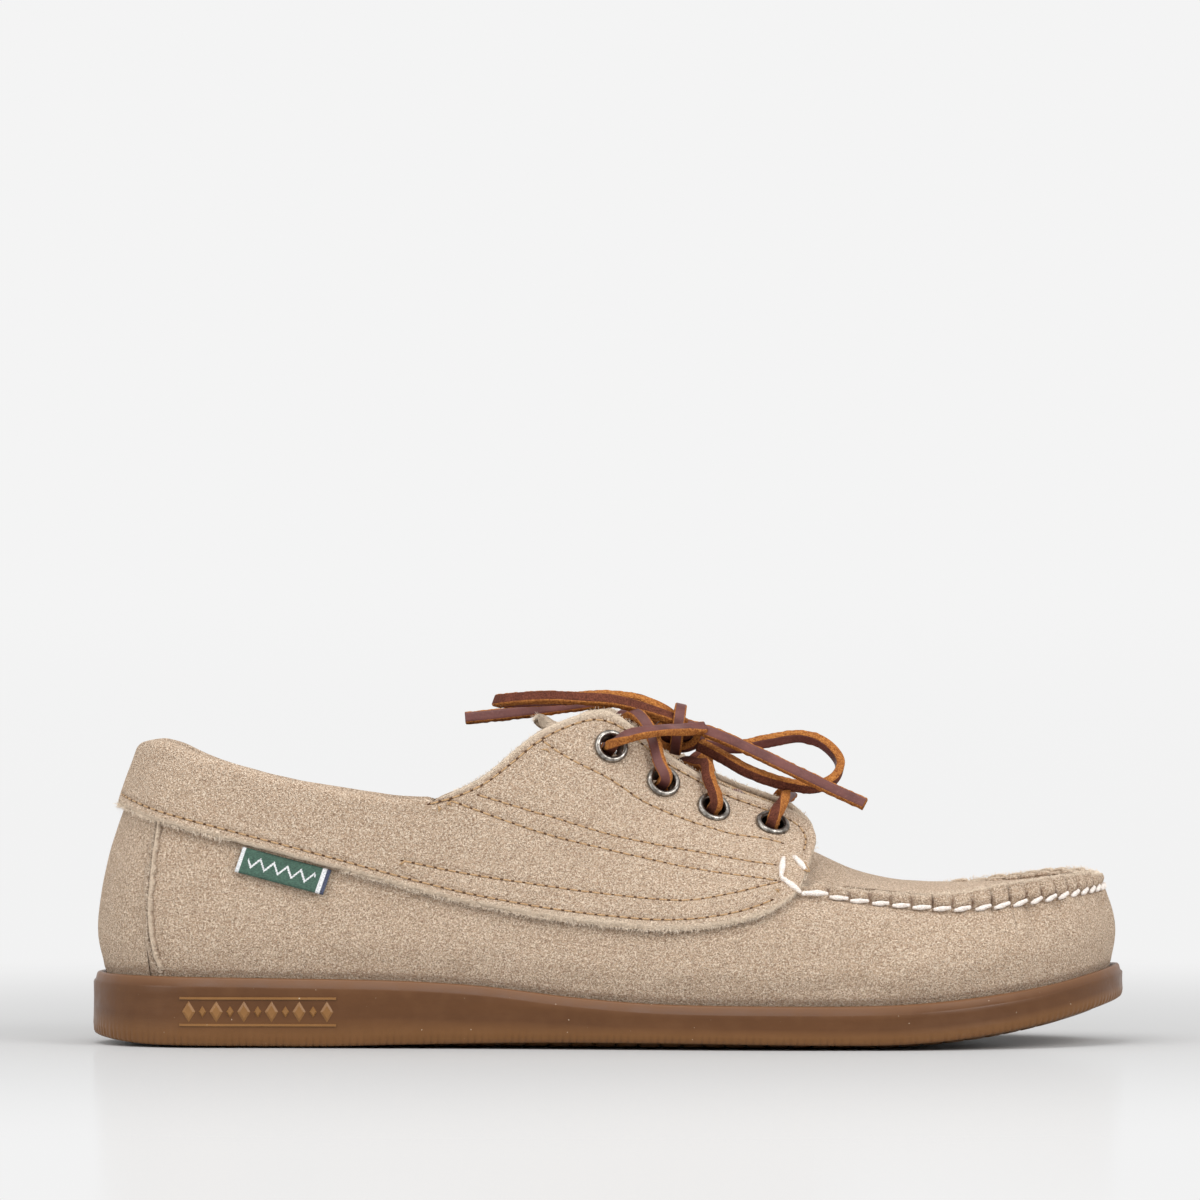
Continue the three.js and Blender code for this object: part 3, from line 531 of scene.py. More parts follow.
class Paint:
    """A Principled material whose noise, ramps and bump are added by short calls."""

    def __init__(self, name, roughness=0.6, **constants):
        self.material = bpy.data.materials.new(name)
        self.material.use_nodes = True
        self.tree = self.material.node_tree
        self.shader = self.tree.nodes["Principled BSDF"]
        self.shader.inputs["Roughness"].default_value = roughness
        for socket, value in constants.items():
            self.shader.inputs[socket.replace("_", " ")].default_value = value
        self.place = self.node("ShaderNodeTexCoord").outputs["Object"]

    def node(self, kind, settings=None, **sockets):
        return add_node(self.tree, kind, settings, **sockets)

    def noise(self, size, detail=2.0, stretch=(1, 1, 1), turn=(0, 0, 0), rough=0.5, warp=0.0):
        """Noise whose features are about size millimetres wide."""
        mapped = self.node("ShaderNodeMapping", Vector=self.place, Scale=stretch, Rotation=turn)
        made = self.node("ShaderNodeTexNoise", Vector=mapped.outputs[0], Scale=1 / (size * MM),
                         Detail=detail, Roughness=rough, Distortion=warp)
        return made.outputs["Fac"]

    def mark(self, name):
        return self.node("ShaderNodeAttribute", {"attribute_name": name}).outputs["Fac"]

    def span(self, value, low, high, to_low=0.0, to_high=1.0):
        return self.node("ShaderNodeMapRange", {"clamp": True}, Value=value, i1=low, i2=high,
                         i3=to_low, i4=to_high).outputs[0]

    def blend(self, factor, a, b):
        return self.node("ShaderNodeMix", {"data_type": "RGBA"}, i0=factor, i6=a, i7=b).outputs[2]

    def tint(self, base, value, low, high, amount, shade):
        """base with a shade laid over it, from none of it at low to this amount at high."""
        return self.blend(self.span(value, low, high, 0, amount), base, shade)

    def maths(self, operation, a, b):
        return self.node("ShaderNodeMath", {"operation": operation}, i0=a, i1=b).outputs[0]

    def bump(self, heights):
        """Relief from (height, depth in millimetres) pairs."""
        normal = None
        for height, depth in heights:
            made = self.node("ShaderNodeBump", Strength=1.0, Distance=depth * MM, Height=height)
            if normal is not None:
                self.tree.links.new(normal, made.inputs["Normal"])
            normal = made.outputs[0]
        self.tree.links.new(normal, self.shader.inputs["Normal"])
        return self

    def set(self, socket, value):
        self.tree.links.new(value, self.shader.inputs[socket])
        return self


def suede_paint(name):
    """Napped sand suede: brushed fibre tufts over soft blotches, pale fuzz on its raw edges, painted
    shade where its shade mark is set.
    """
    paint = Paint(name, roughness=0.95, Sheen_Weight=0.2, Sheen_Roughness=0.5,
                  Sheen_Tint=colour(238, 220, 200))
    paint.shader.inputs["Specular IOR Level"].default_value = 0.1
    blotch = paint.noise(22, 3)
    patch = paint.noise(5, 3, warp=0.4)
    tuft = paint.noise(0.62, 3, stretch=(1, 1, 1.6), turn=(0, 0.7, 0), rough=0.62, warp=0.5)
    fibre = paint.noise(0.42, 2, stretch=(1, 1, 1.8), turn=(0, 0.5, 0), rough=0.7)
    fleck = paint.noise(0.43, 1, rough=0.6, warp=0.8)
    base = paint.blend(paint.span(blotch, 0.3, 0.7), colour(200, 173, 147), colour(206, 180, 155))
    base = paint.tint(base, patch, 0.4, 0.7, 0.35, colour(212, 188, 164))
    base = paint.tint(base, tuft, 0.52, 0.38, 0.88, colour(144, 116, 94))
    base = paint.tint(base, fibre, 0.50, 0.36, 0.75, colour(150, 122, 99))
    base = paint.tint(base, fleck, 0.51, 0.61, 0.8, colour(242, 224, 202))
    base = paint.blend(paint.maths("MULTIPLY", paint.mark("raw"), 0.85), base, colour(228, 209, 186))
    # painted shade: the shade mark darkens creases, grooves, sunk stitch rows and the foot of the
    # upper, where shade falls
    base = paint.blend(paint.mark("shade"), base, colour(104, 72, 54))
    paint.set("Base Color", base)
    return paint.bump([(patch, 0.35), (tuft, 0.7), (fibre, 0.45), (fleck, 0.3)]).material


def leather_paint(name, dark, light, roughness):
    """Smooth lining leather with a fine pored grain."""
    grain, depth, deep = 1.1, 0.12, tuple(v * 0.55 for v in dark[:3]) + (1,)
    paint = Paint(name, roughness=roughness)
    pores = paint.node("ShaderNodeTexVoronoi", {"feature": "DISTANCE_TO_EDGE"}, Vector=paint.place,
                       Scale=1 / (grain * MM)).outputs["Distance"]
    cloud = paint.noise(9, 3)
    base = paint.blend(paint.span(cloud, 0.3, 0.7), dark, light)
    base = paint.tint(base, pores, 0.12, 0.0, 0.35, deep)
    paint.set("Base Color", base)
    return paint.bump([(paint.span(pores, 0.0, 0.2), depth), (paint.noise(2.5, 2), depth)]).material


def rough_paint(name, dark, light, size, depth, roughness=0.95, fleck=None):
    """A fibrous or open surface: cut leather, board, foam."""
    paint = Paint(name, roughness=roughness)
    paint.shader.inputs["Specular IOR Level"].default_value = 0.15
    fibre = paint.noise(size, 3, rough=0.65)
    cloud = paint.noise(size * 6, 2)
    base = paint.blend(paint.span(fibre, 0.34, 0.64), dark, light)
    base = paint.tint(base, cloud, 0.4, 0.7, 0.4, fleck or dark)
    paint.set("Base Color", base)
    return paint.bump([(fibre, depth)]).material


def gum_paint(name, tones, glow=0.45):
    """Satin gum rubber, dusty in places, with a painted highlight on its top lip and a painted golden
    glow of light through its thin lower edge.
    """
    paint = Paint(name, roughness=0.42, Coat_Weight=0.05, Coat_Roughness=0.2)
    paint.shader.inputs["Specular IOR Level"].default_value = 0.25
    rise = paint.mark("rise")
    streak = paint.noise(14, 4, stretch=(0.35, 0.35, 2.2))
    cloud = paint.noise(5, 3)
    base = paint.blend(paint.span(streak, 0.3, 0.7), tones[0], tones[1])
    base = paint.tint(base, cloud, 0.45, 0.75, 0.35, tones[2])
    # painted glow of light through the thin gum: golden towards the bottom, as much as glow
    base = paint.tint(base, rise, 0.35, 0.0, glow, colour(140, 98, 56))
    # painted highlight: a lighter band along the top lip
    base = paint.tint(base, rise, 0.82, 0.95, 0.3, colour(146, 106, 76))
    dust = paint.noise(1.1, 1)
    base = paint.tint(base, dust, 0.79, 0.82, 0.7, colour(206, 186, 160))
    paint.set("Base Color", base)
    paint.set("Roughness", paint.span(cloud, 0.35, 0.7, 0.34, 0.48))
    return paint.bump([(paint.noise(1.4, 3), 0.04), (streak, 0.2)]).material


def thread_paint(name, dark, light, roughness=0.6):
    paint = Paint(name, roughness=roughness, Sheen_Weight=0.2)
    ply = paint.noise(0.5, 2, stretch=(1, 1, 1.6), turn=(0, 0.7, 0))
    paint.set("Base Color", paint.blend(paint.span(ply, 0.35, 0.65), dark, light))
    return paint.bump([(ply, 0.12)]).material


def woven_paint(name, dark, light):
    """Fine damask: weft ribs across the tape."""
    paint = Paint(name, roughness=0.75, Sheen_Weight=0.3)
    rib = paint.node("ShaderNodeTexWave", {"bands_direction": "X"}, Vector=paint.place,
                     Scale=2.1 / MM / 20, Distortion=1.2, Detail=1.0).outputs["Fac"]
    pick = paint.noise(0.55, 1, stretch=(1, 1, 2))
    paint.set("Base Color", paint.blend(paint.span(pick, 0.35, 0.65), dark, light))
    return paint.bump([(rib, 0.1), (pick, 0.15)]).material


def nickel_paint():
    """Darkened nickel: bright where it is rubbed; its shade mark lays brown-black painted shade in the
    hollows, along with the darkened finish that stays there.
    """
    paint = Paint("aged_nickel", roughness=0.3, Metallic=1.0)
    patina = paint.noise(1.3, 4, rough=0.6)
    base = paint.blend(paint.span(patina, 0.38, 0.68), colour(106, 100, 94), colour(176, 171, 164))
    # painted shade in the hollows, with the darkened finish that stays there
    base = paint.blend(paint.mark("shade"), base, colour(52, 44, 38))
    paint.set("Base Color", base)
    paint.set("Roughness", paint.span(patina, 0.3, 0.7, 0.42, 0.22))
    return paint.bump([(paint.noise(0.4, 2), 0.02)]).material


def grain_face_paint():
    """The thong's smooth oiled face, mauve where it creases."""
    paint = Paint("lace_grain", roughness=0.5, Coat_Weight=0.05, Coat_Roughness=0.4)
    paint.shader.inputs["Specular IOR Level"].default_value = 0.35
    pull = paint.noise(7, 3)
    pore = paint.noise(0.7, 2)
    base = paint.blend(paint.span(pull, 0.3, 0.7), colour(80, 42, 38), colour(108, 62, 56))
    base = paint.tint(base, pore, 0.55, 0.75, 0.3, colour(128, 82, 74))
    paint.set("Base Color", base)
    return paint.bump([(pore, 0.06), (pull, 0.3)]).material


suede = suede_paint("suede")
gum = gum_paint("gum_rubber", [colour(84, 52, 26), colour(93, 59, 31), colour(102, 67, 37)])
# a lighter golden copy of the gum: painted glints on the raised motif, which is the same rubber
gum_painted_glint = gum_paint("gum_painted_glint", [colour(124, 86, 46), colour(134, 95, 54), colour(148, 108, 64)], 0)
fibre_suede = rough_paint("suede_fibre", colour(232, 214, 192), colour(246, 232, 214), 1.5, 0.02)
lining_leather = leather_paint("lining_leather", colour(168, 138, 104), colour(190, 160, 126), 0.55)
fibreboard = rough_paint("fibreboard", colour(120, 96, 66), colour(158, 134, 98), 0.8, 0.1)
foam = rough_paint("foam", colour(190, 178, 148), colour(224, 214, 190), 0.9, 0.3)
counter_board = rough_paint("counter_board", colour(206, 198, 178), colour(230, 224, 208), 1.2, 0.05)
nickel = nickel_paint()
white_thread = thread_paint("waxed_thread", colour(200, 188, 178), colour(238, 230, 222))
tan_thread = thread_paint("seam_thread", colour(158, 124, 84), colour(190, 156, 114), 0.85)
# dark inlays that paint the shadow inside the needle holes
needle_hole_shadow = rough_paint("needle_hole_shadow", colour(70, 48, 34), colour(98, 72, 52), 0.4, 0.1)
label_green = woven_paint("label_green", colour(38, 66, 54), colour(58, 92, 76))
label_white = woven_paint("label_white", colour(178, 180, 182), colour(222, 222, 222))
label_navy = woven_paint("label_navy", colour(30, 36, 58), colour(62, 68, 92))
lace_grain = grain_face_paint()
lace_rough = rough_paint("lace_rough", colour(72, 38, 28), colour(116, 66, 50), 0.5, 0.35, 0.9)
lace_cut = rough_paint("lace_cut", colour(122, 68, 32), colour(190, 126, 64), 0.55, 0.4, 0.9,
                       colour(128, 72, 40))


# ---- Laces: one leather thong, its free runs and its bow -----------------------------------------
THONG_WIDE = 3.4
THONG_THICK = 2.5
THONG_SOFT = 0.35
THONG_STEP = 0.55
THONG_MATERIALS = [lace_grain, lace_rough, lace_cut]
INSIDE = -5
OUTSIDE = 5.2
KNOT = np.array((19.5, -5, 88.8))


def centripetal(points, step):
    """A centripetal Catmull-Rom curve through points, sampled about every step."""
    p = np.array(points, float)
    p = np.vstack([2 * p[0] - p[1], p, 2 * p[-1] - p[-2]])
    found = []
    for i in range(1, len(p) - 2):
        a, b, c, d = p[i - 1:i + 3]
        first, middle, last = (max(np.linalg.norm(v), 1e-6) ** 0.5 for v in (b - a, c - b, d - c))
        start = ((b - a) / first - (c - a) / (first + middle) + (c - b) / middle) * middle
        end = ((c - b) / middle - (d - b) / (middle + last) + (d - c) / last) * middle
        count = max(2, int(np.ceil(np.linalg.norm(c - b) / step)))
        t = (np.arange(count) / count)[:, None]
        found.append((2 * t ** 3 - 3 * t ** 2 + 1) * b + (t ** 3 - 2 * t ** 2 + t) * start
                     + (3 * t ** 2 - 2 * t ** 3) * c + (t ** 3 - t ** 2) * end)
    return np.vstack([*found, p[-2:-1]])


def lengths(path):
    return np.r_[0, np.cumsum(np.linalg.norm(np.diff(path, axis=0), axis=1))]


def thong_axes(path, hints):
    """Unit tangents and grain-face directions; hints are (place on the path, direction) pairs."""
    along = unit(np.gradient(path, axis=0))
    face = np.zeros_like(path)
    face[0] = unit(np.cross(along[0], (0.31, 0.2, 0.93)))
    for i in range(1, len(path)):
        face[i] = unit(face[i - 1] - along[i] * (face[i - 1] @ along[i]))
    across = np.cross(along, face)
    at, turns = [], []
    for place, direction in hints:
        i = int(np.argmin(np.linalg.norm(path - np.asarray(place, float), axis=1)))
        d = np.asarray(direction, float)
        at.append(i)
        turns.append(math.atan2(d @ across[i], d @ face[i]))
    order = np.argsort(at)
    turns = np.unwrap(np.array(turns)[order])
    turn = np.interp(np.arange(len(path)), np.array(at)[order], turns)[:, None]
    face = face * np.cos(turn) + across * np.sin(turn)
    return along, face


def thong_section():
    """(across, out) points round the thong and the material of each edge of the section."""
    wide, thick, soft = THONG_WIDE / 2, THONG_THICK / 2, THONG_SOFT
    corner = [(wide - soft, thick), (wide, thick - soft), (wide, -thick + soft),
              (wide - soft, -thick), (-wide + soft, -thick), (-wide, -thick + soft),
              (-wide, thick - soft), (-wide + soft, thick)]
    points, kinds = [], []
    for a, b, steps, kind in zip(corner, corner[1:] + corner[:1], (1, 4) * 4,
                                 (2, 2, 2, 1, 2, 2, 2, 0)):
        points += [mix(np.array(a), np.array(b), s / steps) for s in range(steps)]
        kinds += [kind] * steps
    return np.array(points), np.array(kinds)


def thong(name, route, hints, seed):
    """A flat leather thong along a route: grain face, rough back and raw cut edges."""
    path = centripetal(route, THONG_STEP)
    along, face = thong_axes(path, hints)
    across = np.cross(along, face)
    section, kinds = thong_section()
    sway = waves(seed, 13)(path) * 0.16
    grid = swept(path, across, face, section[:, 0] * (1 + 0.05 * sway[:, None]),
                 section[:, 1] * (1 + 0.5 * sway[:, None]))
    cut = np.abs(section[:, 0]) > THONG_WIDE / 2 - 0.1
    ragged = waves(seed + 1, 1.7)(grid) * 0.1 * cut
    grid = grid + across[:, None] * (ragged * np.sign(section[:, 0]))[..., None]
    rows, columns = grid.shape[:2]
    first = np.arange(columns)
    faces = grid_faces(rows, columns, loop_columns=True)
    caps = np.concatenate([cap(first, False), cap((rows - 1) * columns + first, True)])
    face_kinds = np.r_[np.tile(kinds, rows - 1), np.full(len(caps), THONG_MATERIALS.index(lace_cut))]
    made = add_piece(name, grid, np.concatenate([faces, caps]), THONG_MATERIALS, slot="lace_leather",
                     nodes=[name], face_kinds=face_kinds)


def at_eyelet(side, number, out):
    x, z = EYELETS[number - 1]
    return on_side(side, [x], [z], np.array([out]))[0][0]


def facing_lift(side, x):
    """The medial facing's edge stands higher than the lateral one's in front, and lower behind."""
    front = 1.8 * smooth(8, 26, x) * (1 - smooth(50, 57, x))
    behind = 1.5 * smooth(-124, -110, x) * (1 - smooth(-12, 2, x))
    return np.where(np.asarray(side) > 0, front - behind, 0)


def over_edge(side, x, rise):
    wall = Wall(side, run_at(np.array([x])))
    edge_z = top_edge(x) + facing_lift(side, x)
    edge = wall.point(edge_z, QUARTER_OUT)[0]
    return [wall.point(edge_z - 2.5, QUARTER_OUT + 3.2)[0], edge + (-0.6, 0, rise),
            edge + (-2.6, -side * 5.5, rise)]


def lacing_half(start, stack):
    """From inside a fourth eyelet to outside a first one; stack keeps it clear of its twin."""
    other = -start
    through = lambda side, number: [at_eyelet(side, number, out) for out in (INSIDE, 0, OUTSIDE)]
    return [at_eyelet(start, 4, INSIDE), (37, 0, 66.8 + stack), *through(other, 3),
            *over_edge(other, 28.6, 3), (20.5, 0, 76 + stack), *through(start, 2),
            (14.6, start * 26.2, 80.6), (13.2, start * 23.8, 86), (11.6, start * 21, 90.4),
            (8, start * 17, 93.8), (5, start * 9, 92.2 + stack / 3), (2.4, 0, 87.4 + stack),
            *through(other, 1)]


FRONT_BAR = [(50.6, -14.6, 70.4), (52, -6, 70.6), (52, 6, 71), (50.6, 14.4, 72)]
LACED = [(27.4, -13.4, 90), (21.6, -17.5, 89.6), (13.9, -27, 89.6), (5.8, -29.8, 88.2),
         *lacing_half(MEDIAL, 3.6)[::-1],
         at_eyelet(MEDIAL, 4, 0), at_eyelet(MEDIAL, 4, OUTSIDE), *FRONT_BAR[::-1],
         at_eyelet(LATERAL, 4, OUTSIDE), at_eyelet(LATERAL, 4, 0),
         *lacing_half(LATERAL, 0),
         (5.8, 27.6, 88.8), (12.4, 19, 91.6), (17.2, 7.5, 91.6)]
END_FRONT = [(22.6, -11.6, 90.6), (28.4, -13.2, 88.9), (38, -15, 84.9), (50, -18.5, 79.3),
             (62, -22, 73.6), (73, -25, 68.6)]
END_BACK = [(14.6, 2.2, 94.6), (8, 8, 97.5), (-2, 12.5, 96.6), (-14, 15, 95), (-27, 17, 93.3),
            (-41, 18.5, 91.8)]
LOOP_FRONT = [(25.8, -7.6, 85), (31.6, -10, 82.2), (37.3, -12, 78.9), (44.2, -13.4, 75.9),
              (52.5, -13, 73.6), (59, -10.4, 73), (64.6, -6.2, 75.4), (66.2, -1.6, 79.8),
              (61.7, 2.4, 85), (55.1, 4.4, 87), (45.1, 4.2, 85.6), (36.5, 2.6, 84),
              (27.4, -0.4, 85.2)]
LOOP_BACK = [(20.5, -7.6, 91.4), (15, -9.8, 93.6), (10.4, -11.4, 95.2), (2, -14.4, 97.6),
             (-6.2, -16.6, 98.4), (-14.7, -17.6, 98.8), (-23, -16, 98.6), (-30.4, -10.4, 97.8),
             (-31.4, -4, 97.3), (-24, 1, 97.4), (-12, 2.2, 97.9), (0, 0.8, 98.5), (9, -2, 97.4),
             (15.6, -3.8, 94.8), (19, -4.6, 92.4)]


def loop_hints(route, tilt=0.0):
    """Grain-face directions towards a loop's middle, tilted down."""
    points = np.array(route, float)
    middle = points.mean(0)
    return [(p, middle - p - (0, 0, tilt * np.linalg.norm(middle - p))) for p in points]


UP_TO_CAMERA = (0, -0.62, 0.78)
thong("lace_laced", LACED,
      [((27.4, -13.4, 90), (0.35, -0.75, 0.6)), ((21.6, -17.5, 89.6), UP_TO_CAMERA),
       ((13.9, -27, 89.6), (-0.1, -0.65, 0.75)), ((5.8, -29.8, 88.2), (-0.2, -0.7, 0.68)),
       (at_eyelet(LATERAL, 1, 0), (0.5, -0.3, 0.8)),
       ((11.6, 21, 90.4), (0.2, 0.9, 0.3)), (at_eyelet(MEDIAL, 2, OUTSIDE), (0, 0.9, 0.3)),
       (at_eyelet(LATERAL, 3, OUTSIDE), (0.6, 0.75, -0.2)),
       (at_eyelet(MEDIAL, 4, OUTSIDE), (0.3, -0.9, 0.2)), (FRONT_BAR[1], (0.5, 0, 0.85)),
       (at_eyelet(LATERAL, 4, OUTSIDE), (0.35, 0.9, 0.2)),
       (at_eyelet(MEDIAL, 3, OUTSIDE), (0, -0.8, 0.4)),
       ((13.2, -23.8, 86), (-0.35, -0.92, 0.1)), ((11.6, -21, 90.4), (-0.35, -0.8, 0.5)),
       ((8, -17, 93.8), (-0.2, -0.5, 0.85)), ((5, -9, 92.2), (0, 0, 1)),
       ((12.4, 19, 91.6), (0, 0.3, 0.94)), ((17.2, 7.5, 91.6), (0, 0, 1))],
      seed=3)
thong("lace_end_front", END_FRONT, [(p, (0.25, -1, 0.2)) for p in END_FRONT],
      seed=5)
thong("lace_end_back", END_BACK, [(END_BACK[0], (0, 0.2, 1)), (END_BACK[1], (0.1, -0.6, 0.75)),
                                  (END_BACK[2], (0, -1, 0.25)), (END_BACK[5], (0, -1, 0.3))],
      seed=7)
thong("lace_loop_front", LOOP_FRONT, loop_hints(LOOP_FRONT), seed=9)
thong("lace_loop_back", LOOP_BACK, loop_hints(LOOP_BACK, 0.3), seed=11)


def knot():
    """The bow's knot: a band over the top and two crossed turns round a pressed core."""
    turns = [(np.array((0.4, 0, 0.6)), (0, 0.86, 0.42), 5.8, 6.3, 0.35, 4),
             (np.array((-0.8, 0.2, -0.6)), (0.75, 0.55, 0.2), 6.4, 3.9, 1.1, 5),
             (np.array((1.2, -0.6, -1.4)), (0.9, -0.35, 0.15), 5.6, 3.4, 0.7, 6)]
    section, kinds = thong_section()
    parts = []
    for centre, first, wide, high, twist, seed in turns:
        first = unit(np.array(first, float) * (1, 1, 0))
        second = unit(np.array((0.12, -0.1, 1)))
        turn = np.linspace(0, 2 * np.pi, 57)[:-1]
        path = (KNOT + centre + wide * np.cos(turn)[:, None] * first
                + high * np.sin(turn)[:, None] * second)
        along = unit(np.roll(path, -1, 0) - np.roll(path, 1, 0))
        out = unit(path - KNOT - centre)
        out = unit(out - along * np.sum(out * along, 1, keepdims=True))
        side = np.cross(along, out)
        lean = twist * np.sin(turn + seed)[:, None] * 0.45
        face = out * np.cos(lean) + side * np.sin(lean)
        across = np.cross(along, face)
        grid = swept(path, across, face, section[:, 0], section[:, 1] * 0.9)
        rows, columns = grid.shape[:2]
        faces = grid_faces(rows, columns, loop_rows=True, loop_columns=True)
        parts.append((grid, faces, np.tile(kinds, rows)))
    core, core_faces = capsule(17, 20)
    core = KNOT + core * (5.2, 4.6, 3.4)
    core += waves(2, 6)(core)[:, None] * 0.3 * unit(core - KNOT)
    parts.append((core, core_faces, THONG_MATERIALS.index(lace_rough)))
    points, faces, face_kinds = joined(parts)
    add_piece("lace_knot", points, faces, THONG_MATERIALS, slot="lace_leather", nodes=["lace_knot"],
              face_kinds=face_kinds)


knot()


# ---- Hand-sewn apron seam: where its stitches fall -----------------------------------------------
SEAM_BACK_X = 55
STITCH_PITCH = 6.0
TIP_PITCH = 4.7
HOLE_SHARPNESS = 0.42


class ApronSeam:
    """Length round the apron seam from the toe's tip, lateral side negative, and its stitches."""

    def __init__(self):
        self.runs, self.counts = {}, {}
        for side, _ in SIDES:
            runs = np.linspace(float(run_at(SEAM_BACK_X - 14)), WHOLE_RUN, 500)
            wall = Wall(side, runs, ridge=True)
            path = wall.point(wall.seam_z)
            span = lengths(path[::-1])[::-1]
            pitch = mix(TIP_PITCH, STITCH_PITCH, smooth(15, 60, span))
            count = np.r_[0, np.cumsum(np.diff(span[::-1]) / pitch[::-1][1:])][::-1]
            self.runs[side], self.counts[side] = runs, count

    def phase(self, side, run):
        """Stitches from the tip, whole numbers at the needle holes."""
        lateral = -np.interp(run, self.runs[LATERAL], self.counts[LATERAL])
        medial = np.interp(run, self.runs[MEDIAL], self.counts[MEDIAL])
        return np.where(np.asarray(side) < 0, lateral, medial)

    def run_of(self, side, count):
        return np.interp(-np.abs(count), -self.counts[side], self.runs[side])


apron = ApronSeam()
lobe_rng = np.random.default_rng(41)
LOBE_COUNT = 80
LOBES = lobe_rng.uniform(0.6, 1.25, LOBE_COUNT)
LOBE_LIFT = lobe_rng.uniform(-0.45, 0.35, LOBE_COUNT)


def lobe_of(table, phase):
    return table[(np.floor(phase).astype(int)) % LOBE_COUNT]


def gathered(x):
    """0 behind the bar tacks, 1 along the apron's gathered seam."""
    return smooth(54, 62, x)


def creasing(phase):
    """1 at a needle hole, falling quickly to 0 between holes."""
    return 1 - np.abs(np.sin(np.pi * phase)) ** HOLE_SHARPNESS


GROOVE_DEEP = 0.75
SWELL_HIGH = 0.75
SWELL_AT = 2.2
CREASE_DEEP = 1.15
PUCKER_DEEP = 0.35
TOE_PUCKER_DEEP = 0.75
TOE_FOLD_HIGH = 0.75


def ridge_pull(wall, z, share=1.0):
    """How far the apron's stitches pull the vamp's skin in, and how far its ridge swells out."""
    phase = apron.phase(wall.side, wall.run)
    size = lobe_of(LOBES, phase)
    crease = creasing(phase) * size
    rise = z - wall.seam_z
    ahead = gathered(wall.x)
    toe = smooth(95, 132, wall.x)
    above = smooth(0.2, 1.2, rise)
    groove = -GROOVE_DEEP * np.exp(-((rise + 0.1) / 0.75) ** 2)
    swell = SWELL_HIGH * size * (1 - creasing(phase)) * np.exp(-((rise - SWELL_AT) / 1.5) ** 2)
    upper = -CREASE_DEEP * crease * above
    reach = 3.2 + 7 * toe
    lower = -(PUCKER_DEEP + TOE_PUCKER_DEEP * toe) * crease * (1 - above)
    lower = lower * np.exp(np.minimum(rise, 0) / reach)
    wrinkle = np.sin(phase * 2.1 + 1.3) * np.sin(phase * 0.83 + 0.4) + 0.5 * np.sin(phase * 3.7)
    folds = TOE_FOLD_HIGH * toe * wrinkle * np.exp(np.minimum(rise, 0) / 11) * (1 - above)
    return share * ahead * (groove + swell + upper + lower + folds)


# ---- Vamp and heel panel -------------------------------------------------------------------------
seam_run = float(run_at(HEEL_SEAM_X))
unevenness = waves(5, 26)
dimpling = waves(6, 9)


def uneven(points, amount=1.0):
    return amount * (0.22 * unevenness(points) + 0.09 * dimpling(points))


SPINE_CLEAR = 9


def vamp_top(x):
    """The leather goes up under the quarter behind, and turns up into the ridge in front."""
    rear = np.minimum(x, 49.9)
    rise = np.maximum(quarter_edge(rear), sole_top(rear) + 14) + OVERLAP
    return mix(rise, ridge_top(x), smooth(42, 56, x))


def vamp_bottom(x):
    return sole_top(x) - SOLE_RIM + GAP


def turned_in(wall, insets, thick, end):
    """Rows of points that round the feather edge and run in under the foot to end."""
    edge = [(FEATHER_INSET + inset, rise) for inset, rise in insets]
    return [wall.inward(inset, lambda x, up=rise + thick: vamp_bottom(x) + up)
            for inset, rise in (*edge, ((wall.reach + SPINE_CLEAR) / 2, 0.0), (end, 0.0))]


def wrap_skins(wall, levels, inner_end=0):
    """Outer and inner skins of leather that goes down the wall and turns in under the foot."""
    phase = apron.phase(wall.side, wall.run)
    ahead = gathered(wall.x)
    top = wall.meet(vamp_top)
    lift = ahead * (lobe_of(LOBE_LIFT, phase) * (1 - creasing(phase)) - 0.7 * creasing(phase))
    base = wall.meet(sole_top) + 1.3
    share = np.linspace(0, 1, levels)[:, None] ** 1.35
    heights = mix(top + lift - 0.5, base, share)
    rough = uneven(wall.point(heights))
    settle = smooth(0, 4, heights - base)
    outer_out = ridge_pull(wall, heights) + rough * settle
    inner_out = np.full_like(heights, -SUEDE) + ridge_pull(wall, heights, 0.35)
    crest = top + lift
    edge_out = outer_out[0]
    outer = [wall.point(crest, mix(edge_out, inner_out[0], 0.5)),
             wall.point(crest + 0.05, mix(edge_out, inner_out[0], 0.22)),
             wall.point(crest - 0.15, mix(edge_out, inner_out[0], 0.03)),
             *wall.point(heights, outer_out)]
    inner = [wall.point(crest, mix(edge_out, inner_out[0], 0.55)),
             wall.point(crest + 0.05, mix(edge_out, inner_out[0], 0.8)),
             wall.point(crest - 0.2, mix(edge_out, inner_out[0], 0.98)),
             *wall.point(heights, inner_out)]
    end = wall.reach - inner_end
    outer += turned_in(wall, ((0.15, 1.8), (0.9, 0.6), (3, 0.0)), 0, end)
    inner += turned_in(wall, ((2.1, 2.0), (2.8, 0.7), (4, 0.0)), SUEDE, end)
    raw = np.zeros((len(outer), 1))
    raw[:4, 0] = (0.8, 0.8, 0.6, 0.25)
    # painted shade: darker creases at the apron's needle holes, and a darker foot where the upper
    # meets the sole lip
    at_hole = np.exp(-((phase - np.round(phase)) / 0.085) ** 2)
    at_hole = at_hole * (0.45 + 0.55 * lobe_of(LOBES, phase + 0.5))
    crease_shade = 0.8 * ahead * at_hole * np.exp(-((heights - wall.seam_z - 1.5) / 1.7) ** 2)
    foot = 0.4 * np.exp(-np.maximum(heights - base, 0) / 0.8)
    dark = np.zeros(np.stack(outer).shape[:2])
    dark[3:3 + levels] = np.clip(crease_shade + foot, 0, 1)
    return np.stack(outer), np.stack(inner), raw, dark


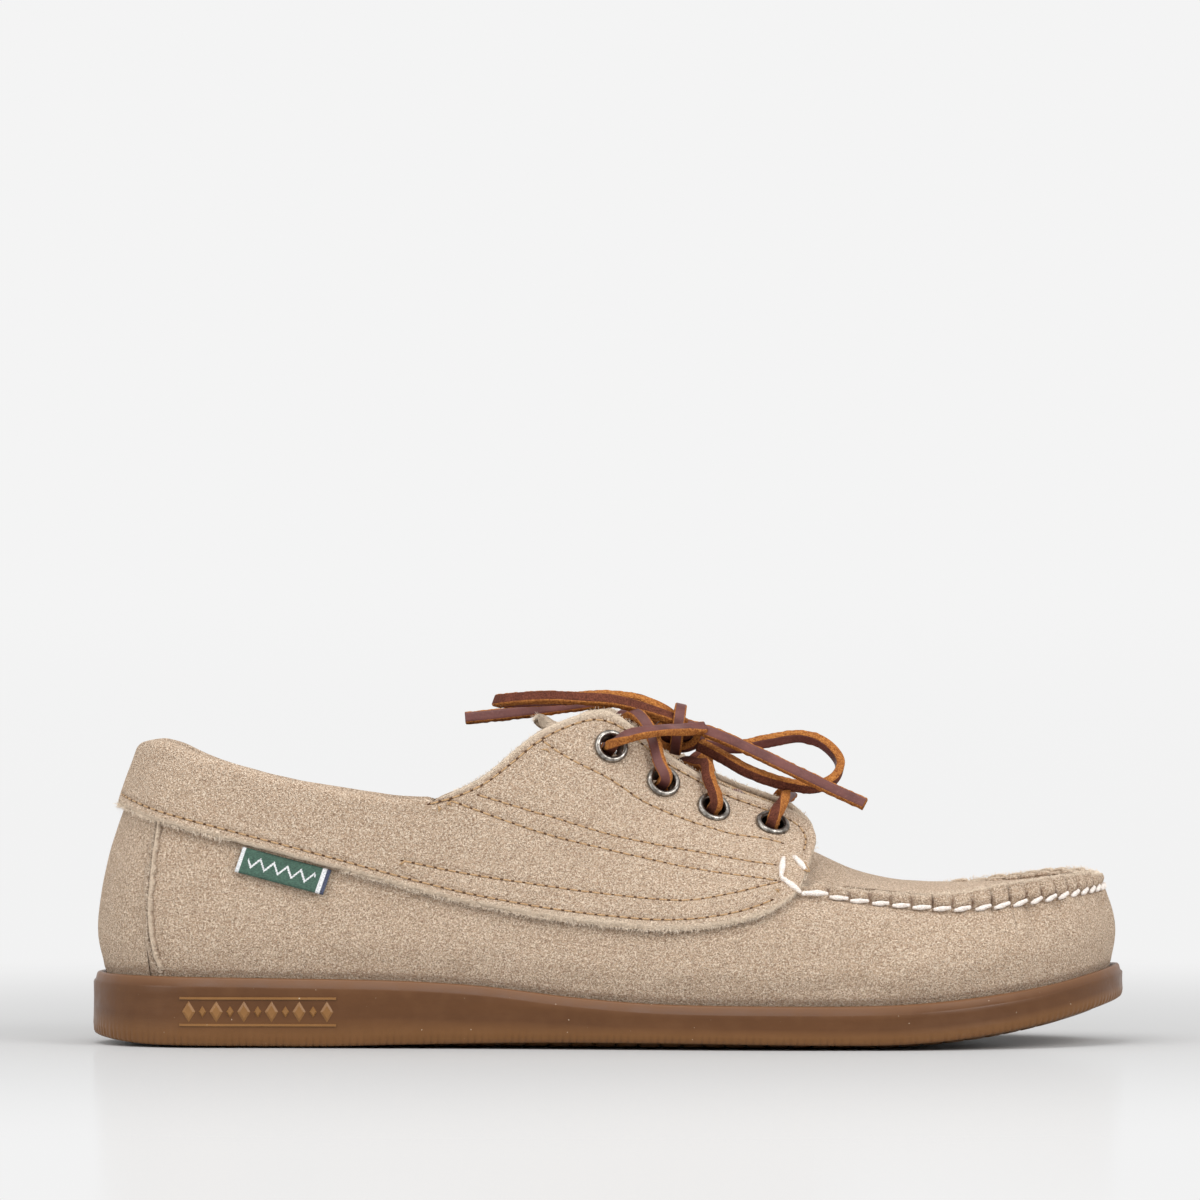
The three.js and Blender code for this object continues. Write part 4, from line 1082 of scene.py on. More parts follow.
def vamp():
    runs = stepped([seam_run + 0.15, float(run_at(52)), WHOLE_RUN], [1.1, 0.42])
    sides, runs = round_row(runs)
    outer, inner, raw, dark = wrap_skins(Wall(sides, runs, ridge=True), 44)
    shell("vamp", outer, inner, suede, meets=True, marks={"raw": (raw, raw), "shade": (dark, 0)},
          slot="suede", nodes=["vamp"])


def heel_panel():
    runs = stepped([0, seam_run - 0.15], [0.8])
    sides, runs = round_row(runs, heel=True)
    outer, inner, raw, dark = wrap_skins(Wall(sides, runs), 32, inner_end=1)
    shell("heel_panel", outer, inner, suede, marks={"raw": (raw, raw), "shade": (dark, 0)},
          slot="suede", nodes=["heel_panel"])


vamp()
heel_panel()


# ---- Machine stitch rows on the quarters ---------------------------------------------------------
MACHINE_PITCH = 3.2
EDGE_ROW_IN = 2.9
STITCH_SUNK = 0.32
ROW_REACH = 2.5
FACING_ROW_Z = 62
SIDE_ROWS = {
    "instep_low": [(-58.5, 52.6), (-41.2, 49.1), (-19.4, 45.6), (5.9, 42.2), (21.2, 41.2),
                   (34.2, 42.8), (48.6, 45.8)],
    "facing_low": [(-45.1, 69.6), (-19.4, 60.4), (-3.3, 56.2), (21.2, 50.4), (47.4, 46.2)],
    "facing_mid": [(-37.1, 71.1), (-16.3, 64.7), (2.1, 59.2), (28.9, 53.5), (47.3, 50.1)],
    "eyelet_row": [(-19, 86.1), (-12.5, 81.8), (-0.2, 75.3), (9.7, 68.8), (22.7, 62.7),
                   (34.3, 58.9), (44.2, 57.3), (49.2, 56)],
    "flap_edge": [(-51, 68.6), (-42.4, 71), (-34.8, 74.6), (-27, 80.6), (-20.2, 86), (-11.7, 90.2),
                  (-3.4, 92), (3, 89.6), (13.7, 80.6), (22, 75.6), (32, 70.2), (42, 66.2),
                  (50, 62.9), (54, 60.4), (55.8, 57.2), (55.2, 54)],
}


def on_leather(side, runs, heights):
    """Points on the quarter's slightly uneven skin, and its normals."""
    points, normals = surface(side, runs, heights, np.full(len(runs), QUARTER_OUT))
    return points + normals * uneven(points, 0.8)[:, None], normals


def machine_rows(side):
    """Each row as (points on the quarter's skin, normals), closely spaced."""
    rows = []
    for points in SIDE_ROWS.values():
        lifted = [(x, 0, z + float(facing_lift(side, x)) * (z > FACING_ROW_Z)) for x, z in points]
        place = centripetal(lifted, 0.4)
        rows.append(on_leather(side, run_for(side, place[:, 0], place[:, 2]), place[:, 2]))
    runs = stepped([3, float(run_at(46.5))], [0.4])
    heights = Wall(side, runs).meet(quarter_edge) + EDGE_ROW_IN
    rows.append(on_leather(side, runs, heights))
    return rows


def sew(name, rows, pitch):
    """Short sunk thread stitches between dark inlays that paint the shadow in each needle hole, along
    rows of points.
    """
    stitch, stitch_faces = capsule(7, 6, arch=0.5)
    hole, hole_faces = capsule(5, 8)
    parts = []
    for path, normals in rows:
        span = lengths(path)
        count = max(2, round(span[-1] / pitch))
        at = np.linspace(0, span[-1], count + 1)
        holes, up = (np.stack([np.interp(at, span, values[:, k]) for k in range(3)], 1)
                     for values in (path, normals))
        up = unit(up)
        middle = (holes[1:] + holes[:-1]) / 2
        lift = unit(up[1:] + up[:-1])
        along = holes[1:] - holes[:-1]
        size = np.linalg.norm(along, axis=1)
        scales = np.stack([size * 0.40, np.full(count, 0.26), np.full(count, 0.22)], 1)
        middle = middle - lift * (STITCH_SUNK - 0.06)
        parts.append((*copies(stitch, stitch_faces, middle, along, lift, scales), 0))
        # painted shadow: a flat dark inlay sunk at each needle hole
        scales = np.tile((0.78, 0.33, 0.16), (count + 1, 1))
        sunk = holes - up * (STITCH_SUNK - 0.02)
        parts.append((*copies(hole, hole_faces, sunk, np.gradient(holes, axis=0), up, scales), 1))
    points, faces, kinds = joined(parts)
    add_piece(name, points, faces, [tan_thread, needle_hole_shadow], slot="seam_thread", face_kinds=kinds)


def near_rows(points, rows):
    """Distance from points to the nearest stitch row, up to ROW_REACH."""
    samples = np.concatenate([path for path, _ in rows])
    tree = KDTree(len(samples))
    for i, p in enumerate(samples):
        tree.insert(p, i)
    tree.balance()
    flat = points.reshape(-1, 3)
    found = np.array([tree.find(p)[2] for p in flat])
    return np.minimum(found, ROW_REACH).reshape(points.shape[:-1])


# ---- Quarters: collar band and lacing flap in one, rolled over the padded collar -----------------
ROLL_WIDE = 5.4
ROLL_HIGH = 2.5
ROLL_DOWN = 6.0
PUNCH_R = 3.7
PUNCH_DEPTH = 14


def quarter_path(wall, high, levels):
    """The middle line of the quarter's leather: (heights, offsets, turn from upright)."""
    low = wall.meet(quarter_edge)
    rolled = 1 - smooth(-72, -43, wall.x)
    middle = (QUARTER_IN + QUARTER_OUT) / 2
    spring = high - SUEDE / 2 - rolled * ROLL_HIGH - 0.25 * (1 - rolled)
    share = np.linspace(0, 1, levels)[:, None] ** 0.9
    z = [mix(low + 0.2, spring, share)]
    out = [np.full_like(z[0], middle)]
    for turn in np.linspace(0, np.pi, 13)[1:]:
        z.append((spring + rolled * ROLL_HIGH * np.sin(turn) + (1 - rolled) * 0.02 * turn)[None])
        out.append((middle - rolled * ROLL_WIDE / 2 * (1 - np.cos(turn)))[None])
    for down in (0.35, 0.7, 1.0):
        z.append((spring - rolled * ROLL_DOWN * down + (1 - rolled) * 0.02)[None])
        out.append((middle - rolled * (ROLL_WIDE + 0.3 * down))[None])
    z, out = np.concatenate(z), np.concatenate(out)
    # the flat flap has no roll: spread those levels evenly up to its edge instead
    flat_z = mix(low + 0.2, high - 0.25, np.linspace(0, 1, len(z))[:, None])
    return mix(flat_z, z, smooth(0, 0.25, rolled)), out


def quarter(side, label, rows):
    stops = [0.08, *(float(run_at(x)) for x in (-47, 46, 56, 59.15))]
    runs = stepped(stops, [0.85, 0.62, 0.5, 0.2])
    wall = Wall(side, runs)
    high = wall.meet(lambda x: top_edge(x) + facing_lift(side, x))
    z, out = quarter_path(wall, high, 52)
    ragged = 0.13 * waves(21, 3.4)(wall.point(z[0])) + 0.07 * waves(22, 1.3)(wall.point(z[0]))
    z = z + ragged * np.linspace(1, 0, len(z))[:, None] ** 6
    step_z, step_out = np.gradient(z, axis=0), np.gradient(out, axis=0)
    size = np.maximum(np.hypot(step_z, step_out), 1e-6)
    normal_z, normal_out = -step_out / size, step_z / size
    half = np.full_like(z, SUEDE / 2)
    half[0], half[-1] = 0.45, 0.4
    half[1] = 0.8
    base = wall.point(z + normal_z * SUEDE / 2, out + normal_out * SUEDE / 2)
    away = near_rows(base, rows)
    sunk = -0.34 * np.exp(-(away / 0.75) ** 2) + 0.1 * np.exp(-((away - 1.7) / 0.7) ** 2)
    skin = uneven(base, 0.8) + sunk
    outer = wall.point(z + normal_z * (half + skin), out + normal_out * (half + skin))
    inner = wall.point(z - normal_z * half, out - normal_out * half)
    raw = np.zeros_like(z)
    raw[0], raw[1], raw[2] = 1.0, 0.75, 0.3
    flap = smooth(-50, -42, wall.x)
    raw[-1], raw[-2], raw[-3] = flap, flap * 0.8, flap * 0.5
    # painted shade along the sunk machine stitch rows
    dark = 0.16 * np.exp(-(away / 0.45) ** 2)
    made = shell("quarter_" + label, outer, inner, suede, slot="suede", nodes=["quarter_" + label],
                 marks={"raw": (raw, raw), "shade": (dark, 0)})
    punch(made, side)
    return made


def punch(piece, side):
    """Cuts the four eyelet holes through a facing."""
    editable = bmesh.new()
    for x, z in EYELETS:
        centre, normal = on_side(side, [x], [z])
        turn = Vector(normal[0]).to_track_quat("Z", "Y").to_matrix().to_4x4()
        turn.translation = Vector(centre[0]) * MM
        bmesh.ops.create_cone(editable, cap_ends=True, segments=32, radius1=PUNCH_R * MM,
                              radius2=PUNCH_R * MM, depth=PUNCH_DEPTH * MM, matrix=turn)
    mesh = bpy.data.meshes.new("punch")
    editable.to_mesh(mesh)
    editable.free()
    tool = bpy.data.objects.new("punch", mesh)
    bpy.context.collection.objects.link(tool)
    cut = piece.modifiers.new("holes", "BOOLEAN")
    cut.operation = "DIFFERENCE"
    cut.solver = "EXACT"
    cut.object = tool
    graph = bpy.context.evaluated_depsgraph_get()
    settled = bpy.data.meshes.new_from_object(piece.evaluated_get(graph))
    piece.modifiers.clear()
    piece.data = settled
    bpy.data.objects.remove(tool)


for side, label in SIDES:
    rows = machine_rows(side)
    quarter(side, label, rows)
    sew("stitching_" + label, rows, MACHINE_PITCH)


# ---- Outsole -------------------------------------------------------------------------------------
FLAT_FROM_X = -128
FLAT_TO_X = 72
TOOTH_PITCH = 2.1
TREAD_PITCH = 6.2
TREAD_DEPTH = 0.9
TREAD_HALF_WIDTH = 0.42
WALL_SHARE = 0.78
WALL_HOLLOW = 0.22
LIP_LOW = 2.7
EDGE_RISE = 1.4


def sole_curl(x):
    return 0.00207 * np.maximum(x - FLAT_TO_X, 0) ** 2 + 0.0045 * np.maximum(FLAT_FROM_X - x, 0) ** 2


def tread_edge(x):
    return sole_curl(x) + sole_edge_lift(x) + 0.0003 * np.maximum(HEEL_CENTRE_X - x, 0) ** 2


def tread_groove(points):
    """Depth of the wavy cuts across the tread."""
    wave = points[..., 0] + 2.4 * np.sin(points[..., 1] / 5.2)
    near_cut = np.abs((wave / TREAD_PITCH + 0.5) % 1 - 0.5) * TREAD_PITCH
    return TREAD_DEPTH * np.exp(-(near_cut / TREAD_HALF_WIDTH) ** 2)


def outsole():
    """A cup sole: a toothed tread edge, a hollow wall, a rounded lip and the deck inside it."""
    runs = stepped([0, WHOLE_RUN], [0.5])
    sides, runs = round_row(runs, whole=True)
    wall = Wall(sides, runs)
    round_edge = lengths(np.stack([wall.x, wall.y], 1))
    teeth = 0.5 + 0.5 * np.cos(2 * np.pi * round_edge / TOOTH_PITCH)
    deck = lambda x: sole_top(x) - SOLE_RIM
    bite = np.maximum(teeth - 0.72, 0) / 0.28
    rows, rise = [], []

    def level(inset, height, share):
        rows.append(wall.inward(inset, height))
        rise.append(np.full(len(runs), share))

    level(0.25 + 0.35 * bite, lambda x: tread_edge(x) + 0.95, 0.05)
    for share in (0.1, 0.2, 0.35, 0.5, 0.65, 0.76):
        hollow = WALL_HOLLOW * np.sin(np.pi * share)
        level(hollow + 0.08 * bite * (share < 0.15),
              lambda x, s=share / WALL_SHARE: mix(tread_edge(x) + EDGE_RISE, sole_top(x) - LIP_LOW, s),
              share)
    for inset, drop, share in ((0.35, 2.45, 0.8), (0.75, 2.1, 0.84), (1.15, 0.6, 0.93),
                               (1.5, 0.15, 0.97), (2.0, 0.0, 1.0), (2.75, 0.05, 1.0),
                               (3.0, 0.5, 0.9)):
        level(inset, lambda x, d=drop: sole_top(x) - d, share)
    for inset, share in ((3.1, 0.6), ((wall.reach + SPINE_CLEAR) / 2, 0.5), (wall.reach, 0.5)):
        level(inset, deck, share)
    top, top_rise = np.stack(rows), np.stack(rise)

    rows = [wall.inward(0.6 + 0.5 * bite, lambda x: tread_edge(x) + 0.3),
            wall.inward(1.4 + 0.5 * bite, tread_edge)]
    shares = np.linspace(0, 1, 24)
    for share in shares:
        inset = mix(3.0, wall.reach, share)
        flat = smooth(3, 9, inset)
        rows.append(wall.inward(inset, lambda x, f=flat: mix(tread_edge(x), sole_curl(x), f)))
    bottom = np.stack(rows)
    clear = smooth(0, 7, wall.reach[None] - np.r_[0.6, 1.4, np.zeros(24)][:, None]
                   - np.r_[0, 0, shares][:, None] * wall.reach)
    inner_rows = smooth(1.5, 4, np.linspace(0, 26, len(rows)))[:, None]
    bottom[..., 2] += tread_groove(bottom) * inner_rows * clear
    shell("outsole", top, bottom, gum, meets=True, loop=True, slot="gum_rubber", nodes=["outsole"],
          marks={"rise": (top_rise, 0.0)})


def sole_motif():
    """A raised band of lozenges between two fillets on the lateral side of the heel."""
    lozenge = np.array([(-1, 0, 0), (0, -1, 0), (1, 0, 0), (0, 1, 0), (-0.62, 0, 1), (0, -0.62, 1),
                        (0.62, 0, 1), (0, 0.62, 1), (-1.1, 0, -1), (0, -1.1, -1), (1.1, 0, -1),
                        (0, 1.1, -1)])
    ring = lambda a, b: [(a + k, a + (k + 1) % 4, b + (k + 1) % 4, b + k) for k in range(4)]
    faces = np.array(ring(0, 4) + ring(8, 0) + [(4, 5, 6, 7), (11, 10, 9, 8)])
    count = 11
    centres, fronts = sole_side(np.linspace(-119.4, -80, count), np.full(count, 9.9), 0.05)
    up = np.tile((0.0, 0, 1), (count, 1))
    big = np.where(np.arange(count) % 2 == 0, 1.0, 0.55)
    scales = np.stack([1.9 * big, 3.0 * big, np.full(count, 0.4)], 1)
    parts = [(*copies(lozenge, faces, centres, np.cross(up, fronts), fronts, scales), 0)]
    section = np.array([(-0.4, -0.3), (-0.3, 0.25), (0.3, 0.25), (0.4, -0.3)])
    steps = 60
    last = 4 * steps - 1
    ends = [(0, 1, 2, 3), (last, last - 1, last - 2, last - 3)]
    bar_faces = np.concatenate([grid_faces(steps, 4, loop_columns=True), ends])
    for height in (6.1, 13.7):
        path, front = sole_side(np.linspace(-122, -77.4, steps), np.full(steps, height), 0.1)
        bar = swept(path, front, np.tile((0.0, 0, 1), (steps, 1)), section[:, 1], section[:, 0])
        parts.append((bar, bar_faces, 0))
    points, faces, _ = joined(parts)
    # the motif wears the lighter copy of the gum, its painted glints
    made = add_piece("sole_motif", points, faces, gum_painted_glint, slot="gum_rubber",
                     marks={"rise": np.full(len(points), 0.72)})
    for polygon in made.data.polygons:
        polygon.use_smooth = False


def sole_side(x, z, out):
    """Points on the lateral wall of the outsole, and the directions that they face."""
    wall = Wall(LATERAL, run_at(x))
    high = sole_top(x) - LIP_LOW - EDGE_RISE - tread_edge(x)
    share = np.clip((z - tread_edge(x) - EDGE_RISE) / high, 0, 1) * WALL_SHARE
    inset = WALL_HOLLOW * np.sin(np.pi * share) - out
    front = np.stack([-wall.in_x, -wall.in_y, np.zeros_like(x)], -1)
    return wall.inward(inset, z), front


outsole()
sole_motif()


# ---- Boards, pads and footbed --------------------------------------------------------------------
def board_bottom(x):
    return vamp_bottom(x) + SUEDE + GAP


def pad_bottom(x):
    return board_bottom(x) + BOARD + GAP


def footbed_bottom(x):
    return pad_bottom(x) + (HEEL_PAD + GAP) * (1 - smooth(-74, -40, x))


def flat_skins(wall, inset, low, high, soft, dish):
    """Top and bottom skins of a sheet with a rounded edge; dish lifts its border."""
    middle = lambda x: 0.5 * (low(x) + high(x))
    top, bottom = [], []
    for turn in (0.0, 0.5, 1.0):
        edge = inset + soft * (1 - math.sin(turn * math.pi / 2))
        top.append(wall.inward(edge, lambda x, t=turn ** 0.7: mix(middle(x), high(x), t)))
    for share in np.linspace(0, 1, 14)[1:]:
        across = mix(inset + soft * 2, wall.reach, share)
        rim = dish * (1 - smooth(0, 12, across - inset))
        top.append(wall.inward(across, lambda x, r=rim: high(x) + r - dish * 0.3))
    for turn in (0.0, 1.0):
        bottom.append(wall.inward(inset + soft * (1 - turn),
                                  lambda x, t=turn: mix(middle(x), low(x), t)))
    for share in (0.5, 1.0):
        bottom.append(wall.inward(mix(inset + soft * 2, wall.reach, share), low))
    return np.stack(top), np.stack(bottom)


def sheets():
    """The flat parts under the foot."""
    whole = Wall(*round_row(stepped([0, WHOLE_RUN], [1.3]), whole=True))
    rear = Wall(*round_row(stepped([0, float(run_at(-76))], [1.3]), heel=True))
    pieces = (("insole_board", whole, 7.4, board_bottom, BOARD, 0.3, 0, fibreboard, "fibreboard"),
              ("heel_pad", rear, 10, pad_bottom, HEEL_PAD, 0.8, 0, foam, "foam"),
              ("footbed", whole, 9.4, footbed_bottom, FOOTBED, 0.9, 0.9, lining_leather,
               "lining_leather"))
    for name, wall, inset, low, thick, soft, dish, material, slot in pieces:
        top, bottom = flat_skins(wall, inset, low, lambda x: low(x) + thick, soft, dish)
        made = shell(name, top, bottom, material, meets=True, loop=wall is whole, slot=slot,
                     nodes=[name])


sheets()


# ---- Heel counter, collar foam and linings -------------------------------------------------------
BAND_SOFT = 0.35


def band_skins(wall, low, high, inner, outer, levels):
    """Outer and inner skins of a strip of the wall between two heights, its edges eased."""
    heights = mix(low + BAND_SOFT, high - BAND_SOFT, np.linspace(0, 1, levels)[:, None])
    middle = (inner + outer) / 2
    bumpy = uneven(wall.point(heights), 0.6)
    ease = lambda z, out: wall.point(z, np.full_like(wall.x, out))[None]
    skins = []
    for out in (outer, inner):
        soft_out = mix(out, middle, 0.35)
        skins.append(np.concatenate([ease(low, soft_out), wall.point(heights, out + bumpy),
                                     ease(high, soft_out)]))
    return skins


def linings():
    rear = Wall(*round_row(stepped([0, float(run_at(LINING_END_X))], [1.2]), heel=True))
    cup = Wall(*round_row(stepped([0, float(run_at(-84))], [1.5]), heel=True))
    lining_low = lambda wall: wall.meet(sole_top) + 3.4
    under = -SUEDE - GAP
    lining_out = -SUEDE - LINING - 2 * GAP
    outer, inner = band_skins(cup, lining_low(cup), cup.meet(quarter_edge) + 4, under - LINING,
                              under, 12)
    shell("heel_counter", outer, inner, counter_board, slot="counter_board", nodes=["heel_counter"])
    rim = rear.meet(lambda x: shoulder(x) + facing_lift(rear.side, x))
    # towards their front end the foam thins out and the lining closes up to the quarter
    raised = 1.4 * smooth(-66, -48, rear.x)
    ending = smooth(-68, LINING_END_X, rear.x)
    lining_face = lining_out + 1.3 * ending
    outer, inner = band_skins(rear, lining_low(rear), rim - 3.6 + raised, lining_face - LINING,
                              lining_face, 30)
    shell("heel_lining", outer, inner, lining_leather, slot="lining_leather", nodes=["heel_lining"])
    outer, inner = band_skins(rear, rear.meet(vamp_top) + 0.8, rim - 3.4 + raised,
                              lining_face + GAP, -1.9 * ending, 10)
    made = shell("collar_foam", outer, inner, foam, slot="foam", nodes=["collar_foam"])
    for side, label in SIDES:
        wall = Wall(side, stepped([float(run_at(LINING_END_X + 1)), float(run_at(52))], [0.8]))
        high = wall.meet(lambda x: top_edge(x) + facing_lift(side, x)) - 0.7
        low = np.maximum(wall.meet(facing_seam), wall.meet(vamp_top) + 0.8)
        outer, inner = band_skins(wall, low, high, -LINING, 0.05, 40)
        made = shell("facing_lining_" + label, outer, inner, lining_leather, slot="lining_leather",
                     nodes=["facing_lining_" + label])
        punch(made, side)


linings()


# ---- Eyelets and washers -------------------------------------------------------------------------
EYELET_HOLE_R = 3.05
EYELET_BARREL_R = 3.4
EYELET_SEAT = QUARTER_OUT + 0.15
WASHER_SEAT = -LINING - 0.4
TURNED_SIDES = 56


def turned(name, profile, centre, normal, shades):
    """A ring turned about an eyelet's axis; shades are given per profile point."""
    count = TURNED_SIDES
    angle = np.arange(count) / count * 2 * np.pi
    side = unit(np.cross(normal, (0.3, 0.1, 1)))
    up = np.cross(normal, side)
    radial = np.cos(angle)[:, None] * side + np.sin(angle)[:, None] * up
    profile = np.array(profile)
    grid = centre + radial[:, None] * profile[None, :, 0, None] + normal * profile[None, :, 1, None]
    faces = grid_faces(count, len(profile), loop_rows=True, loop_columns=True)
    add_piece(name, grid, faces, nickel, slot="aged_nickel", nodes=[name],
              marks={"shade": np.tile(shades, count)})


def eyelets():
    lip = [(4.05 + 0.9 * math.cos(t), EYELET_SEAT + 0.2 + 0.95 * math.sin(t))
           for t in np.linspace(-0.25, math.pi, 13)]
    inner = [(EYELET_HOLE_R, z) for z in (1.6, 0.6, -0.6, WASHER_SEAT - 0.6)]
    clench = [(3.1, WASHER_SEAT - 1.0), (4.1, WASHER_SEAT - 1.05), (4.2, WASHER_SEAT - 0.75),
              (EYELET_BARREL_R, WASHER_SEAT - 0.6), (EYELET_BARREL_R, EYELET_SEAT - 0.1)]
    profile = lip + inner + clench
    # shade per profile point: painted shade at the lip's foot, inside the barrel and on the clench,
    # and a little on the washers, along with the darkened finish kept in these hollows
    shades = np.r_[np.linspace(0.35, 0, 5), np.zeros(6), np.linspace(0.2, 0.5, 2), np.full(4, 0.85),
                   np.full(5, 0.6)]
    washer = [(3.7, WASHER_SEAT - 0.5), (5.1, WASHER_SEAT - 0.5), (5.25, WASHER_SEAT - 0.3),
              (5.1, WASHER_SEAT - 0.05), (3.7, WASHER_SEAT - 0.05)]
    for side, label in SIDES:
        for n, (x, z) in enumerate(EYELETS, 1):
            centre, normal = on_side(side, [x], [z])
            turned(f"eyelet_{label}_{n}", profile, centre[0], normal[0], shades)
            turned(f"washer_{label}_{n}", washer, centre[0], normal[0], np.full(5, 0.3))


eyelets()


# ---- Plug ----------------------------------------------------------------------------------------
PLUG_BACK_X = 52


def plug():
    """The apron: its edge stands up inside the vamp's ridge, its crown rises to the throat."""
    runs = stepped([float(run_at(PLUG_BACK_X)), WHOLE_RUN], [0.45])
    wall = Wall(*round_row(runs), ridge=True)
    phase = apron.phase(wall.side, wall.run)
    ahead = gathered(wall.x)
    crease, size = creasing(phase), lobe_of(LOBES, phase + 7)
    lift = lobe_of(LOBE_LIFT, phase + 5) * (1 - crease) - 0.8 * crease
    lip_top = wall.meet(ridge_top) - 0.35 + ahead * lift
    lip_foot = wall.seam_z + 1.4
    out_off = -SUEDE + 0.1
    in_off = out_off - SUEDE
    foot = wall.point(lip_foot + SUEDE, in_off)
    foot_inset = np.hypot(foot[:, 0] - wall.x, foot[:, 1] - wall.y)
    crown_z = plug_crown(np.clip(wall.x, PLUG_BACK_X, TOE_CENTRE_X))
    upper = np.linspace(0, 1, 7)[:, None]
    lip_z = mix(lip_top - 0.4, lip_foot + SUEDE + 1.0, upper)
    pinch = ahead * (crease * size * 0.8 - 0.35 * (1 - crease) * np.sin(np.pi * upper))
    top = [wall.point(lip_top, mix(out_off, in_off, 0.5)),
           wall.point(lip_top - 0.1, mix(out_off, in_off, 0.85)),
           *wall.point(lip_z, in_off + pinch)]
    bottom = [wall.point(lip_top, mix(out_off, in_off, 0.45)),
              wall.point(lip_top - 0.1, mix(out_off, in_off, 0.1)),
              *wall.point(mix(lip_top - 0.4, lip_foot, upper), out_off)]
    gather = ahead * 0.55 * (crease * size - 0.3)
    shares = np.linspace(0, 1, 30)[1:] ** 1.5
    for share in shares:
        inset = mix(foot_inset + 0.6, wall.reach, share)
        fade = np.exp(-(inset - foot_inset) / (4 + 5 * smooth(100, 130, wall.x)))
        swing = 1 - (1 - share) ** 2
        z = mix(foot[:, 2], crown_z, swing) - gather * fade
        spot = wall.inward(inset, z)
        spot[:, 2] += uneven(spot, 0.8) * smooth(0, 0.3, 1 - share)
        top.append(spot)
    for share in (0.08, 0.2, 0.4, 0.7, 1.0):
        inset = mix(foot_inset - SUEDE * 0.6, wall.reach, share)
        z = mix(wall.point(lip_foot, out_off)[:, 2], crown_z - SUEDE, 1 - (1 - share) ** 2)
        bottom.append(wall.inward(inset, z))
    raw = np.zeros((len(top), 1))
    raw[:3, 0] = (0.9, 0.7, 0.3)
    # painted shade in the creases at the apron's needle holes
    dark = np.zeros((len(top), len(runs) * 2 - 1))
    dark[5:12] = 0.3 * crease * ahead
    shell("plug", np.stack(top), np.stack(bottom), suede, meets=True, slot="suede", nodes=["plug"],
          marks={"raw": (raw, 0.3), "shade": (dark, 0)})


plug()


# ---- Waxed hand stitches -------------------------------------------------------------------------
THREAD_R = 0.78
THREAD_LIFT = 0.45
TACK_THREAD_R = 0.95
TACK_SUNK = 0.25
# from (x, z) to (x, z), and how far out on the side each end lies
BAR_TACK = (((49.6, 52.0), (49.0, 46.7), QUARTER_OUT, QUARTER_OUT),
            ((49.0, 46.7), (54.6, 43.0), QUARTER_OUT, QUARTER_OUT - 0.6),
            ((54.6, 43.0), (62.2, 42.9), 1.2, 1.2),
            ((52.3, 52.2), (55.8, 48.4), QUARTER_OUT, QUARTER_OUT))


def rope_stitches(name, starts, ends, normals, nodes=(), radius=THREAD_R):
    """Twisted waxed stitches from hole to hole, each standing out a little in its middle."""
    template, faces = capsule(15, 12, arch=0.35, ply=0.3)
    starts, ends, normals = (np.asarray(v, float) for v in (starts, ends, normals))
    along = ends - starts
    size = np.linalg.norm(along, axis=1)
    scales = np.stack([size / 2, np.full(len(size), radius), np.full(len(size), radius * 0.85)], 1)
    points, all_faces = copies(template, faces, (starts + ends) / 2 + normals * THREAD_LIFT, along,
                               normals, scales)
    add_piece(name, points, all_faces, white_thread, slot="waxed_thread", nodes=nodes)


def apron_stitches():
    """A row of slanted stitches on each side of the ridge."""
    rng = np.random.default_rng(8)
    seam_end = float(run_at(RIDGE_START_X))
    first = int(np.ceil(apron.phase(LATERAL, seam_end)))
    last = int(np.floor(apron.phase(MEDIAL, seam_end)))
    for name, out, slant, rise, facing, nodes in (
            ("apron_stitches_outer", 0.05, 0.75, 0.2, 1, ["apron_thread"]),
            ("apron_stitches_inner", -2 * SUEDE - 0.35, -0.5, 1.8, -1, [])):
        starts, ends, normals = [], [], []
        for hole in range(first, last):
            spots = []
            for share, tilt in ((0.06, -slant), (0.93, slant)):
                count = hole + share + rng.uniform(-0.05, 0.05)
                side = LATERAL if count < 0 else MEDIAL
                wall = Wall(side, np.array([apron.run_of(side, count)]), ridge=True)
                tip = smooth(80, 135, wall.x)
                z = wall.seam_z - side * (0.45 + 0.4 * tip) * tilt + rise
                outward = np.array([-wall.in_x[0] * facing, -wall.in_y[0] * facing, -0.15])
                spots.append((wall.point(z, out)[0], unit(outward)))
            starts.append(spots[0][0])
            ends.append(spots[1][0])
            normals.append(spots[0][1])
        rope_stitches(name, starts, ends, normals, nodes)


def bar_tacks():
    """The heavy corner stitches that hold each quarter's front end down."""
    for side, label in SIDES:
        starts, ends, normals = [], [], []
        for (x0, z0), (x1, z1), out0, out1 in BAR_TACK:
            points, facing = on_side(side, [x0, x1], [z0, z1], np.array([out0, out1]) - TACK_SUNK)
            starts.append(points[0])
            ends.append(points[1])
            normals.append(unit(facing.sum(0)))
        rope_stitches("bar_tack_" + label, starts, ends, normals, radius=TACK_THREAD_R)


apron_stitches()
bar_tacks()


# ---- Tongue --------------------------------------------------------------------------------------
TONGUE_ROOT_X = 57
TONGUE_END_X = -21
TONGUE_THICK = 1.7
tongue_half = rail([(-21, 14), (-18, 18), (-10, 19.6), (0, 19), (13, 19.5), (27, 19), (45, 17),
                    (57, 15.5)])
tongue_bow = rail([(-21, 0.003), (-12, 0.007), (-1.5, 0.014), (13, 0.0208), (27, 0.0228), (45, 0.013),
                   (57, 0.006)])


